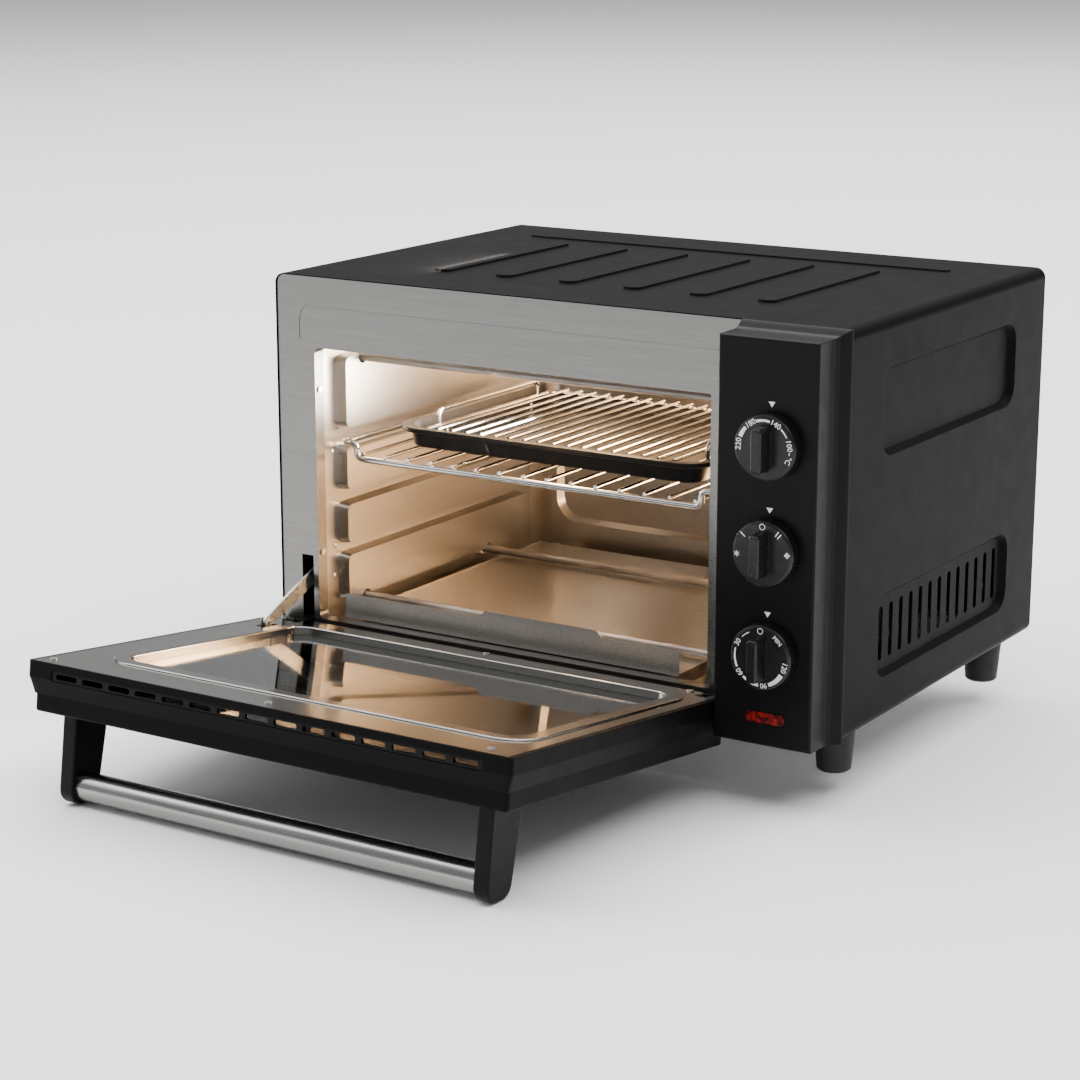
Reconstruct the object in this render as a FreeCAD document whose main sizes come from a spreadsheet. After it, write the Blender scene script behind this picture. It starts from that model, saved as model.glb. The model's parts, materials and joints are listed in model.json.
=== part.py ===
import FreeCAD, Part
import math
import os
import re
import Sketcher
from FreeCAD import Placement, Rotation, Vector

# A counter-top mini oven. Row frame: X to the right as seen from the front, Y to the back, Z up.
# The origin is the centre of the casing's footprint, on the plane of the four foot soles. Millimetres.
# Everything on the door is drawn with the door shut, then swung open by door_open_angle, its rest pose.

doc = FreeCAD.newDocument("mini_oven")

SIZES = {
    # casing and feet
    "casing_width": 490, "casing_depth": 336.4, "casing_height": 292, "sheet": 0.7, "bend_radius": 8,
    "casing_hem": 14, "rib_pitch": 56, "rib_width": 16, "rib_rise": 1.8, "rib_front": 70, "rib_rear": 250,
    "recess_depth": 4.5, "recess_front": 50, "recess_rear": 283, "recess_corner": 16,
    "louvre_pitch": 16.75, "louvre_width": 6, "foot_height": 34, "foot_top_radius": 15,
    "foot_sole_radius": 12.5, "foot_inset": 25, "foot_front": 39, "foot_rear": 35.4,
    "screw_radius": 2, "screw_head": 4, "gap": 0.3,
    # cavity: insets from the casing, heights above its underside, depths behind its front edge
    "cavity_inset": 28, "bay_width": 114.5, "liner": 0.6, "cavity_front": 12, "cavity_rear": 318,
    "floor_height": 9, "ceiling_height": 250, "press_depth": 10, "press_front": 36, "press_rear": 300,
    "press_corner": 7, "press_bottom": 27.5, "press_top": 225,
    "groove_low": 70, "groove_mid": 112, "groove_high": 160.3, "gap_low": 7, "gap_mid": 9.5,
    "gap_high": 11.5,
    # front frame and its opening
    "frame_setback": 1, "frame_sheet": 0.8, "opening_inset": 7.4, "opening_overhang": 9,
    "opening_corner": 5,
    "sill_height": 22,
    "lintel_height": 236.6, "slot_width": 11, "slot_low": 2.5, "slot_high": 72, "slot_middle": 25,
    "groove_width": 3.6, "groove_offset": 14, "groove_rise": 35.4, "groove_corner": 16,
    # heating elements
    "element_radius": 3.25, "element_low": 28, "element_high": 221, "element_front": 60,
    "element_rear": 237, "bush_radius": 5, "bush_flange": 7,
    # rack, baking tray, grill insert and crumb tray
    "rail_radius": 2.5, "rail_height": 157.6, "rail_inset": 3.7, "rail_inset_left": 10.7,
    "rack_drop": 12.5, "rack_front": 36,
    "rack_rear": 300, "rack_shoulder": 20.4, "rod_radius": 1.5, "rod_count": 15,
    "tray_inset": 34.5, "tray_front": 61, "tray_depth": 229, "tray_rim": 168.6, "tray_wall": 17,
    "tray_corner": 24, "tray_lip": 6, "tray_sheet": 0.9, "grill_margin": 12, "grill_rod_count": 17,
    "crumb_inset": 24, "crumb_height": 22.8, "crumb_sheet": 0.5, "crumb_front": 13, "crumb_depth": 285,
    "crumb_wall": 19.2, "crumb_tab_rise": 5, "crumb_tab_width": 98,
    # control panel, knobs and switches
    "panel_width": 84.5, "panel_depth": 34, "panel_flare": 8.2, "panel_drop": 5.4, "panel_wall": 2.5,
    "knob_offset": 43, "knob_low": 66.4, "knob_pitch": 73.5, "knob_radius": 23.2, "knob_thick": 10,
    "grip_width": 10, "grip_proud": 13, "knob_gap": 0.6, "shaft_radius": 3, "shaft_fit": 0.05,
    "switch_depth": 28, "lamp_height": 20.5, "lamp_length": 30, "lamp_width": 8,
    # convection fan
    "fan_radius": 34, "fan_behind": 176, "fan_height": 112, "fan_pocket": 22, "fan_opening": 39,
    "shield_offset": 27.5,
    # door and hinge
    "door_gap": 1, "door_side_gap": 2, "door_height": 291, "door_drop": 0.7, "door_thick": 36.4,
    "door_flange": 11.5, "door_flare": 12, "door_flare_inset": 4, "door_wall": 2.5, "door_round": 10,
    "door_open_angle": 83.1, "hinge_setback": 12.8, "hinge_rise": 10.5, "pin_radius": 2.5,
    "pin_fit": 0.05,
    "bracket_width": 10, "bracket_radius": 9, "bracket_crown": 11.5, "carrier_sheet": 2.5,
    "lug_width": 6, "lug_inset": 14.2,
    "liner_inset": 4, "liner_proud": 0.3, "bead_inset": 32, "bead_margin": 16, "bead_low": 25,
    "bead_high": 37,
    "bead_width": 12, "bead_rise": 1.2, "glass_sheet": 3, "glass_lap": 5, "glass_depth": 4.5,
    "window_frame": 34,
    "arm_width": 11, "arm_sheet": 2, "arm_reach": 75, "arm_pivot_along": 40.5, "arm_pivot_rise": 3.4,
    "arm_angle": 22.5, "rivet_radius": 1.6, "spring_radius": 2.6, "spring_wire": 0.5,
    "vent_count": 15, "vent_length": 18.8, "vent_pitch": 23.8, "vent_width": 4, "vent_depth": 8.5,
    # handle
    "handle_span": 181, "handle_plate": 12, "handle_reach": 102, "handle_along": 28,
    "handle_bar_depth": 89.5, "handle_bar_radius": 10.5, "handle_root": 17.5, "handle_tip": 14,
    # mains lead inlet
    "inlet_radius": 3.6, "inlet_boss": 8, "inlet_length": 16,
}

# Places that follow from the sizes, written as sheet formulas.
PLACES = {
    "left": "-casing_width/2", "right": "casing_width/2", "front": "-casing_depth/2",
    "rear": "casing_depth/2", "base": "foot_height", "top": "base+casing_height",
    "cavity_left": "left+cavity_inset", "cavity_right": "right-bay_width",
    "middle": "(cavity_left+cavity_right)/2",
    "floor_top": "base+floor_height", "ceiling": "base+ceiling_height",
    "wall_front": "front+cavity_front", "wall_rear": "front+cavity_rear",
    "frame_face": "front+frame_setback", "frame_rear": "frame_face+frame_sheet",
    "opening_left": "cavity_left+opening_inset", "opening_right": "cavity_right+opening_overhang",
    "sill": "base+sill_height", "lintel": "base+lintel_height",
    "panel_left": "right-panel_width", "panel_face": "front-panel_depth", "knob_x": "right-knob_offset",
    "door_left": "left", "door_right": "panel_left-door_side_gap",
    "door_middle": "(door_left+door_right)/2",
    "door_inner": "front-door_gap", "door_outer": "door_inner-door_thick",
    "door_foot": "base-door_drop", "door_head": "door_foot+door_height",
    "hinge_y": "front-hinge_setback", "hinge_z": "base+hinge_rise",
    "slot_left": "left+slot_middle", "lug_x": "door_right-lug_inset",
    "glass_y": "door_inner-glass_depth",
    "window_left": "door_left+bead_inset+bead_width", "window_right": "door_right-bead_margin-bead_width",
    "window_low": "door_foot+bead_low+bead_width", "window_high": "door_head-bead_high-bead_width",
    "arm_lean": "door_inner+arm_pivot_rise-hinge_y",
    "arm_y": "hinge_y+arm_lean*cos(door_open_angle*1deg)-arm_pivot_along*sin(door_open_angle*1deg)",
    "arm_z": "hinge_z+arm_lean*sin(door_open_angle*1deg)+arm_pivot_along*cos(door_open_angle*1deg)",
    "tray_left": "cavity_left+tray_inset", "tray_right": "cavity_right-tray_inset",
    "tray_nose": "front+tray_front", "tray_tail": "tray_nose+tray_depth",
    "tray_top": "base+tray_rim", "tray_floor": "tray_top-tray_wall",
    "rail_z": "base+rail_height", "bar_z": "rail_z-rack_drop",
    "crumb_left": "cavity_left+crumb_inset", "crumb_right": "cavity_right-crumb_inset",
    "crumb_nose": "front+crumb_front", "crumb_tail": "crumb_nose+crumb_depth",
    "crumb_z": "base+crumb_height",
    "fan_y": "front+fan_behind", "fan_z": "base+fan_height",
    "grille_x": "cavity_right-press_depth", "shield_x": "cavity_right+shield_offset",
}

WORD = re.compile(r"[a-z][a-z_]*[a-z]")


def bound(text):
    """The expression with each size and each place pointing at its sheet."""
    def swap(found):
        word = found.group(0)
        if word in SIZES:
            return "dims." + word
        return "places." + word if word in PLACES else word
    return WORD.sub(swap, str(text))


dims = doc.addObject("Spreadsheet::Sheet", "dims")
for row, (alias, amount) in enumerate(SIZES.items(), start=1):
    dims.set(f"A{row}", alias)
    dims.set(f"B{row}", str(amount))
    dims.setAlias(f"B{row}", alias)
places = doc.addObject("Spreadsheet::Sheet", "places")
for row, alias in enumerate(PLACES, start=1):
    places.set(f"A{row}", alias)
    places.setAlias(f"B{row}", alias)
for row, formula in enumerate(PLACES.values(), start=1):
    places.set(f"B{row}", "=" + bound(formula))
trial = doc.addObject("Spreadsheet::Sheet", "trial")
doc.recompute()


def number(text):
    """What an expression of the sizes and places comes to now, in millimetres."""
    trial.set("A1", "=" + bound(text))
    trial.recompute()
    return float(trial.get("A1"))


# ---- Part primitives and booleans with their sizes bound to the sheets

def bind(thing, **expressions):
    for path, text in expressions.items():
        thing.setExpression(path.replace("__", "."), bound(text))
    return thing


def place(thing, x, y, z):
    return bind(thing, Placement__Base__x=x, Placement__Base__y=y, Placement__Base__z=z)


def box(x, y, z):
    """A block between pairs of coordinates along X, Y and Z."""
    block = doc.addObject("Part::Box", "block")
    bind(block, Length=f"({x[1]})-({x[0]})", Width=f"({y[1]})-({y[0]})", Height=f"({z[1]})-({z[0]})")
    return place(block, x[0], y[0], z[0])


TURNS = {"x": Rotation(Vector(0, 1, 0), 90), "y": Rotation(Vector(1, 0, 0), -90), "z": Rotation()}


def rod(axis, radius, x, y, z, length):
    """A cylinder from a point along the positive axis."""
    solid = doc.addObject("Part::Cylinder", "rod")
    solid.Placement = Placement(Vector(), TURNS[axis])
    bind(solid, Radius=radius, Height=length)
    return place(solid, x, y, z)


def fuse(*parts):
    whole = doc.addObject("Part::MultiFuse", "fused")
    whole.Shapes = list(parts)
    return whole


def cut(base, *tools):
    result = doc.addObject("Part::Cut", "cut")
    result.Base = base
    result.Tool = fuse(*tools) if len(tools) > 1 else tools[0]
    return result


def group(*parts):
    """Separate identical solids that share one node."""
    whole = doc.addObject("Part::Compound", "group")
    whole.Links = list(parts)
    return whole


def runs(edge, axis):
    """Whether an edge is straight and parallel to an axis."""
    a, b = edge.Vertexes[0].Point, edge.Vertexes[-1].Point
    span = b - a
    along = abs(getattr(span, axis))
    return edge.Curve.TypeId == "Part::GeomLine" and along > 0.99 * span.Length and span.Length > 0


# ---- PartDesign bodies from sketches on their own origin planes

def new_body(name):
    return doc.addObject("PartDesign::Body", name)


def sketch(body, plane, offset="0"):
    """An empty sketch on the body's XY, XZ or YZ plane, at the given coordinate along the third axis."""
    drawing = body.newObject("Sketcher::SketchObject", "drawing")
    role = plane + "_Plane"
    origin_plane = [f for f in body.Origin.OriginFeatures if f.Role == role][0]
    drawing.AttachmentSupport = [(origin_plane, "")]
    drawing.MapMode = "FlatFace"
    sign = "-" if plane == "XZ" else ""
    drawing.setExpression("AttachmentOffset.Base.z", bound(f"{sign}({offset})"))
    return drawing


def pin_point(drawing, geometry, corner, u, v):
    """Ties one point of a sketch to two coordinates given as expressions."""
    for kind, text in (("DistanceX", u), ("DistanceY", v)):
        tie = drawing.addConstraint(Sketcher.Constraint(kind, -1, 1, geometry, corner, number(text)))
        drawing.setExpression(f"Constraints[{tie}]", bound(text))


def polygon(drawing, points):
    """A closed outline of straight lines through points given as expressions."""
    flat = [(number(u), number(v)) for u, v in points]
    first = drawing.GeometryCount
    count = len(points)
    for i in range(count):
        a, b = flat[i], flat[(i + 1) % count]
        drawing.addGeometry(Part.LineSegment(Vector(*a, 0), Vector(*b, 0)))
    for i in range(count):
        drawing.addConstraint(Sketcher.Constraint("Coincident", first + i, 2, first + (i + 1) % count, 1))
    for i, (u, v) in enumerate(points):
        pin_point(drawing, first + i, 1, u, v)


def rectangle(drawing, u, v):
    polygon(drawing, [(u[0], v[0]), (u[1], v[0]), (u[1], v[1]), (u[0], v[1])])


def circle(drawing, u, v, radius):
    ring = drawing.addGeometry(Part.Circle(Vector(number(u), number(v), 0), Vector(0, 0, 1),
                                           number(radius)))
    pin_point(drawing, ring, 3, u, v)
    tie = drawing.addConstraint(Sketcher.Constraint("Radius", ring, number(radius)))
    drawing.setExpression(f"Constraints[{tie}]", bound(radius))


def round_rectangle(drawing, u, v, corner):
    """A rectangle whose four corners are quarter circles, each tangent to its two sides."""
    u0, u1, v0, v1, r = number(u[0]), number(u[1]), number(v[0]), number(v[1]), number(corner)
    first = drawing.GeometryCount
    sides = [((u0 + r, v0), (u1 - r, v0)), ((u1, v0 + r), (u1, v1 - r)),
             ((u1 - r, v1), (u0 + r, v1)), ((u0, v1 - r), (u0, v0 + r))]
    centres = [(u1 - r, v0 + r), (u1 - r, v1 - r), (u0 + r, v1 - r), (u0 + r, v0 + r)]
    for i in range(4):
        a, b = sides[i]
        drawing.addGeometry(Part.LineSegment(Vector(*a, 0), Vector(*b, 0)))
        whole = Part.Circle(Vector(*centres[i], 0), Vector(0, 0, 1), r)
        drawing.addGeometry(Part.ArcOfCircle(whole, (i - 1) * math.pi / 2, i * math.pi / 2))
    for i in range(4):
        line, arc, following = first + 2 * i, first + 2 * i + 1, first + (2 * i + 2) % 8
        drawing.addConstraint(Sketcher.Constraint("Tangent", line, 2, arc, 1))
        drawing.addConstraint(Sketcher.Constraint("Tangent", arc, 2, following, 1))
        drawing.addConstraint(Sketcher.Constraint("Horizontal" if i % 2 == 0 else "Vertical", line))
    for i in range(1, 4):
        drawing.addConstraint(Sketcher.Constraint("Equal", first + 1, first + 2 * i + 1))
    tie = drawing.addConstraint(Sketcher.Constraint("Radius", first + 1, r))
    drawing.setExpression(f"Constraints[{tie}]", bound(corner))
    for kind, line, text in (("DistanceY", 0, v[0]), ("DistanceX", 2, u[1]),
                             ("DistanceY", 4, v[1]), ("DistanceX", 6, u[0])):
        tie = drawing.addConstraint(Sketcher.Constraint(kind, -1, 1, first + line, 1, number(text)))
        drawing.setExpression(f"Constraints[{tie}]", bound(text))


def outside_corner(drawing, u, v, radius):
    """What a round of this radius takes off a corner at (u, v) whose solid lies at lower u and higher v."""
    at_u, at_v, r = number(u), number(v), number(radius)
    whole = Part.Circle(Vector(at_u - r, at_v + r, 0), Vector(0, 0, 1), r)
    arc = drawing.addGeometry(Part.ArcOfCircle(whole, -math.pi / 2, 0))
    path = [(f"{u}", f"{v}+{radius}"), (f"{u}+1", f"{v}+{radius}"), (f"{u}+1", f"{v}-1"),
            (f"{u}-{radius}", f"{v}-1"), (f"{u}-{radius}", v)]
    flat = [Vector(number(a), number(b), 0) for a, b in path]
    for start, end in zip(flat, flat[1:]):
        drawing.addGeometry(Part.LineSegment(start, end))
    drawing.addConstraint(Sketcher.Constraint("Coincident", arc, 2, arc + 1, 1))
    for i in range(1, 4):
        drawing.addConstraint(Sketcher.Constraint("Coincident", arc + i, 2, arc + i + 1, 1))
    drawing.addConstraint(Sketcher.Constraint("Coincident", arc + 4, 2, arc, 1))
    for i, (a, b) in enumerate(path[:4], start=1):
        pin_point(drawing, arc + i, 1, a, b)
    pin_point(drawing, arc, 1, *path[4])
    tie = drawing.addConstraint(Sketcher.Constraint("Radius", arc, r))
    drawing.setExpression(f"Constraints[{tie}]", bound(radius))


NORMALS = {"XY": 1, "XZ": -1, "YZ": 1}


def extrude(body, kind, drawing, plane, toward, length, taper=None):
    """A Pad or Pocket towards +1 or -1 across the plane; a taper in degrees narrows it."""
    feature = body.newObject("PartDesign::" + kind, kind.lower())
    feature.Profile = drawing
    feature.setExpression("Length", bound(length))
    along_normal = toward == NORMALS[plane]
    feature.Reversed = along_normal if kind == "Pocket" else not along_normal
    if taper is not None:
        feature.TaperAngle = -taper
    body.Tip = feature
    drawing.Visibility = False
    return feature


def pad(body, drawing, plane, toward, length, taper=None):
    return extrude(body, "Pad", drawing, plane, toward, length, taper)


def pocket(body, drawing, plane, toward, length, taper=None):
    doc.recompute()
    before = body.Shape.Volume
    feature = extrude(body, "Pocket", drawing, plane, toward, length, taper)
    doc.recompute()
    if body.Shape.Volume >= before - 0.01:
        raise RuntimeError(f"a pocket in {body.Name} cuts nothing")
    return feature


def round_body(body, radius, chosen):
    """PartDesign::Fillet on the body's edges that pass the test."""
    doc.recompute()
    base = body.Tip
    edges = [f"Edge{n}" for n, e in enumerate(base.Shape.Edges, 1) if chosen(e)]
    if not edges:
        raise RuntimeError(f"no edges to round on {body.Name}")
    feature = body.newObject("PartDesign::Fillet", "rounding")
    feature.Base = (base, edges)
    feature.setExpression("Radius", bound(radius))
    body.Tip = feature
    return feature


def line_up(body, feature, drawing, axis, length, count):
    """PartDesign::LinearPattern of one feature along an axis of its sketch."""
    pattern = body.newObject("PartDesign::LinearPattern", "pattern")
    pattern.Originals = [feature]
    pattern.Direction = (drawing, [axis])
    pattern.setExpression("Length", bound(length))
    pattern.Occurrences = count
    body.Tip = pattern
    return pattern


def turned(body, profile):
    """A Revolution about Z of an outline given as (radius, height) expressions."""
    drawing = sketch(body, "XZ")
    polygon(drawing, profile)
    feature = body.newObject("PartDesign::Revolution", "turning")
    feature.Profile = drawing
    feature.ReferenceAxis = (drawing, ["V_Axis"])
    feature.Angle = 360
    body.Tip = feature
    return feature


# ---- the list of sub-parts

nodes = {}


def node(name, thing):
    thing.Label = name
    nodes[name] = thing
    return thing


def feature_node(name, shape):
    """A sub-part whose shape is worked out here from the sheets."""
    thing = doc.addObject("Part::Feature", name)
    thing.Shape = shape
    return node(name, thing)


def swing(thing):
    """Turns a piece drawn on the shut door about the hinge line to the door's open rest pose."""
    thing.Placement = Placement(Vector(), Rotation(Vector(1, 0, 0), number("door_open_angle")))
    lean, rise = "cos(door_open_angle*1deg)", "sin(door_open_angle*1deg)"
    return bind(thing, Placement__Rotation__Angle="door_open_angle*1deg",
                Placement__Base__y=f"hinge_y-hinge_y*{lean}+hinge_z*{rise}",
                Placement__Base__z=f"hinge_z-hinge_y*{rise}-hinge_z*{lean}")


def bent_wire(points, radius, bend):
    """A round wire along straight runs joined by tangent arcs of one bend radius."""
    corners = [Vector(*p) for p in points]
    edges, start = [], corners[0]
    for before, corner, after in zip(corners, corners[1:], corners[2:]):
        a, b = (before - corner).normalize(), (after - corner).normalize()
        half = a.getAngle(b) / 2
        reach = bend / math.tan(half)
        tangent_in, tangent_out = corner + a * reach, corner + b * reach
        centre = corner + (a + b).normalize() * (bend / math.sin(half))
        crown = centre + (corner - centre).normalize() * bend
        edges.append(Part.LineSegment(start, tangent_in).toShape())
        edges.append(Part.Arc(tangent_in, crown, tangent_out).toShape())
        start = tangent_out
    edges.append(Part.LineSegment(start, corners[-1]).toShape())
    path = Part.Wire(edges)
    section = Part.Wire([Part.makeCircle(radius, corners[0], corners[1] - corners[0])])
    return path.makePipeShell([section], True, True)


# ---- casing, base, back and feet

def outer_casing():
    """One bent steel sheet: top and both sides, ribbed on top, pressed and louvred at the sides."""
    case = new_body("outer_casing")
    wrap = sketch(case, "XZ", "front")
    polygon(wrap, [
        ("left+casing_hem", "base"), ("left", "base"), ("left", "top"), ("right", "top"),
        ("right", "base"),
        ("right-casing_hem", "base"), ("right-casing_hem", "base+sheet"), ("right-sheet", "base+sheet"),
        ("right-sheet", "top-sheet"), ("left+sheet", "top-sheet"), ("left+sheet", "base+sheet"),
        ("left+casing_hem", "base+sheet")])
    pad(case, wrap, "XZ", 1, "casing_depth")
    half, inner = number("casing_width/2"), number("casing_width/2-sheet")

    def corner(edge, reach, low, high):
        at = edge.BoundBox.Center
        off = min(abs(at.z - low), abs(at.z - high))
        return runs(edge, "y") and abs(abs(at.x) - reach) < 0.01 and off < 0.01
    round_body(case, "bend_radius", lambda e: corner(e, half, number("base"), number("top")))
    round_body(case, "bend_radius-sheet",
               lambda e: corner(e, inner, number("base+sheet"), number("top-sheet")))

    rib = sketch(case, "XY", "top")
    round_rectangle(rib, ("-2.5*rib_pitch-rib_width/2", "-2.5*rib_pitch+rib_width/2"),
                    ("front+rib_front", "front+rib_rear"), "rib_width*0.45")
    ridge = pad(case, rib, "XY", 1, "rib_rise", 20)
    line_up(case, ridge, rib, "H_Axis", "5*rib_pitch", 6)
    long_rib = sketch(case, "XY", "top")
    round_rectangle(long_rib, ("-190", "190"), ("front+rib_rear+25", "front+rib_rear+35"), "4.5")
    pad(case, long_rib, "XY", 1, "rib_rise*0.7", 20)

    for side in (-1, 1):
        face, inside = f"{side}*casing_width/2", f"{side}*(casing_width/2-sheet)"
        for low, high in (("base+194", "base+258"), ("base+32", "base+94")):
            dish = sketch(case, "YZ", inside)
            grow = "sheet*0.4"
            round_rectangle(dish, (f"front+recess_front-{grow}", f"front+recess_rear+{grow}"),
                            (f"{low}-{grow}", f"{high}+{grow}"), f"recess_corner+{grow}")
            pad(case, dish, "YZ", -side, "recess_depth", 40)
            well = sketch(case, "YZ", face)
            round_rectangle(well, ("front+recess_front", "front+recess_rear"), (low, high),
                            "recess_corner")
            pocket(case, well, "YZ", -side, "recess_depth", 40)
        louvre = sketch(case, "YZ", face)
        first = "front+(recess_front+recess_rear)/2-6*louvre_pitch"
        round_rectangle(louvre, (f"{first}-louvre_width/2", f"{first}+louvre_width/2"),
                        ("base+43", "base+83"), "louvre_width*0.45")
        slot = pocket(case, louvre, "YZ", -side, "recess_depth+3*sheet")
        line_up(case, slot, louvre, "H_Axis", "12*louvre_pitch", 13)
    return node("outer_casing", case)


def base_plate():
    plate = new_body("base_plate")
    outline = sketch(plate, "XY", "base+sheet")
    rectangle(outline, ("left+bend_radius+gap", "right-bend_radius-gap"), ("frame_rear+gap", "rear-6"))
    pad(plate, outline, "XY", 1, "sheet")
    slits = sketch(plate, "XY", "base+2*sheet")
    round_rectangle(slits, ("-150", "-145"), ("-60", "60"), "2.2")
    vent = pocket(plate, slits, "XY", -1, "3*sheet")
    line_up(plate, vent, slits, "H_Axis", "300", 11)
    holes = sketch(plate, "XY", "base+2*sheet")
    for x, y in foot_places():
        circle(holes, x, y, "screw_radius+gap")
    pocket(plate, holes, "XY", -1, "3*sheet")
    return node("base_plate", plate)


def back_panel():
    """A flat steel back inside the casing's rear edge, with two rows of vents and the inlet hole."""
    panel = new_body("back_panel")
    outline = sketch(panel, "XZ", "rear-5")
    round_rectangle(outline, ("left+sheet+gap", "right-sheet-gap"), ("base+sheet+gap", "top-sheet-gap"),
                    "bend_radius-sheet")
    pad(panel, outline, "XZ", 1, "sheet")
    for height in ("base+60", "base+200"):
        row = sketch(panel, "XZ", "rear-5")
        round_rectangle(row, ("-180", "-175"), (height, f"{height}+30"), "2.2")
        slit = pocket(panel, row, "XZ", 1, "2*sheet")
        line_up(panel, slit, row, "H_Axis", "306", 18)
    inlet = sketch(panel, "XZ", "rear-5")
    circle(inlet, "right-40", "base+35", "inlet_boss-2+gap/2")
    for x, z in back_screw_places():
        circle(inlet, x, z, "screw_radius*0.8+gap/3")
    pocket(panel, inlet, "XZ", 1, "2*sheet")
    return node("back_panel", panel)


def back_screw_places():
    return [(x, z) for x in ("left+40", "0", "right-60") for z in ("base+12", "top-12")]


def foot_places():
    return [(f"{side}*(casing_width/2-foot_inset)", y) for y in ("front+foot_front", "rear-foot_rear")
            for side in (-1, 1)]


def foot(name, x, y):
    """A tapered moulded foot with a soft lower edge and a recess for its screw."""
    block = new_body(name)
    turned(block, [
        ("screw_radius+gap", "8"), ("screw_head+1", "8"), ("screw_head+1", "0"),
        ("foot_sole_radius-1.5", "0"), ("foot_sole_radius", "1.5"),
        ("foot_top_radius", "foot_height-3"), ("foot_top_radius", "foot_height"),
        ("screw_radius+gap", "foot_height")])
    place(block, x, y, "0")
    return node(name, block)


def feet():
    names = ["front_left_foot", "front_right_foot", "rear_left_foot", "rear_right_foot"]
    for name, (x, y) in zip(names, foot_places()):
        foot(name, x, y)
    screws = []
    for x, y in foot_places():
        head = rod("z", "screw_head", x, y, "5", "3")
        shank = rod("z", "screw_radius", x, y, "8", "foot_height+2*sheet-8+2")
        screws.append(fuse(head, shank))
    node("foot_screws", group(*screws))


# ---- front frame and the baking cavity

LIP_SCREWS = ("base+74.9", "base+203.3")


def front_frame():
    """The satin steel face: the oven's mouth with its return lip, the hinge slots and the switch holes."""
    frame = new_body("front_frame")
    face = sketch(frame, "XZ", "frame_face")
    round_rectangle(face, ("left+sheet+gap", "right-sheet-gap"), ("base+sheet+gap", "top-sheet-gap"),
                    "bend_radius-sheet")
    pad(frame, face, "XZ", 1, "frame_sheet")
    mouth = sketch(frame, "XZ", "frame_face")
    round_rectangle(mouth, ("opening_left", "opening_right"), ("sill", "lintel"), "opening_corner")
    pocket(frame, mouth, "XZ", 1, "2*frame_sheet")
    lip = sketch(frame, "XZ", "frame_rear")
    round_rectangle(lip, ("opening_left", "opening_right"), ("sill", "lintel"), "opening_corner")
    round_rectangle(lip, ("opening_left-liner", "opening_right+liner"), ("sill-liner", "lintel+liner"),
                    "opening_corner+liner")
    pad(frame, lip, "XZ", 1, "wall_front-frame_rear")
    web = sketch(frame, "XZ", "wall_front-liner")
    round_rectangle(web, ("opening_left", "cavity_right"), ("sill", "lintel"), "opening_corner")
    rectangle(web, ("cavity_left-liner", "opening_right+liner"), ("floor_top-liner", "ceiling+liner"))
    pad(frame, web, "XZ", 1, "liner")
    slots = sketch(frame, "XZ", "frame_face")
    rectangle(slots, ("slot_left-slot_width/2", "slot_left+slot_width/2"),
              ("base+slot_low", "base+slot_high"))
    rectangle(slots, ("lug_x-lug_width/2-0.5", "lug_x+lug_width/2+0.5"),
              ("base+slot_low", "hinge_z+bracket_crown+0.5"))
    pocket(frame, slots, "XZ", 1, "2*frame_sheet")
    holes = sketch(frame, "XZ", "frame_face")
    for i in range(3):
        circle(holes, "knob_x", f"base+knob_low+{i}*knob_pitch", "shaft_radius+3.5")
    circle(holes, "knob_x", "base+lamp_height", "4.5")
    pocket(frame, holes, "XZ", 1, "2*frame_sheet")
    groove = sketch(frame, "XZ", "frame_face")
    out_l, out_r = "opening_left-groove_offset", "opening_right+groove_offset"
    tall = "lintel+groove_rise"
    polygon(groove, [
        (out_l, "lintel+6"), (f"{out_l}+groove_width", "lintel+6"),
        (f"{out_l}+groove_width", f"{tall}-groove_width"),
        (f"{out_r}-groove_width", f"{tall}-groove_width"), (f"{out_r}-groove_width", "lintel+6"),
        (out_r, "lintel+6"), (out_r, tall), (out_l, tall)])
    pocket(frame, groove, "XZ", 1, "frame_sheet/2")

    lip_holes = sketch(frame, "YZ", "opening_left+1")
    for z in LIP_SCREWS:
        circle(lip_holes, "front+6.5", z, "1.5")
    pocket(frame, lip_holes, "YZ", -1, "liner+2")

    def groove_corner(edge, inset):
        at = edge.BoundBox.Center
        left_x, right_x = number(f"{out_l}+{inset}"), number(f"{out_r}-{inset}")
        return (runs(edge, "y") and abs(at.z - number(f"{tall}-{inset}")) < 0.01
                and min(abs(at.x - left_x), abs(at.x - right_x)) < 0.01)
    round_body(frame, "groove_corner", lambda e: groove_corner(e, "0"))
    round_body(frame, "groove_corner-groove_width", lambda e: groove_corner(e, "groove_width"))
    return node("front_frame", frame)


def element_places():
    return [(f"front+{y}", f"base+{z}") for z in ("element_low", "element_high")
            for y in ("element_front", "element_rear")]


def runner_bands():
    """Bottom and top of each pressed panel of a side wall: the grooves between them carry the rack."""
    grooves = [("groove_low", "gap_low"), ("groove_mid", "gap_mid"), ("groove_high", "gap_high")]
    lows = ["base+press_bottom"] + [f"base+{g}+{w}/2" for g, w in grooves]
    highs = [f"base+{g}-{w}/2" for g, w in grooves] + ["base+press_top"]
    return list(zip(lows, highs))


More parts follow.
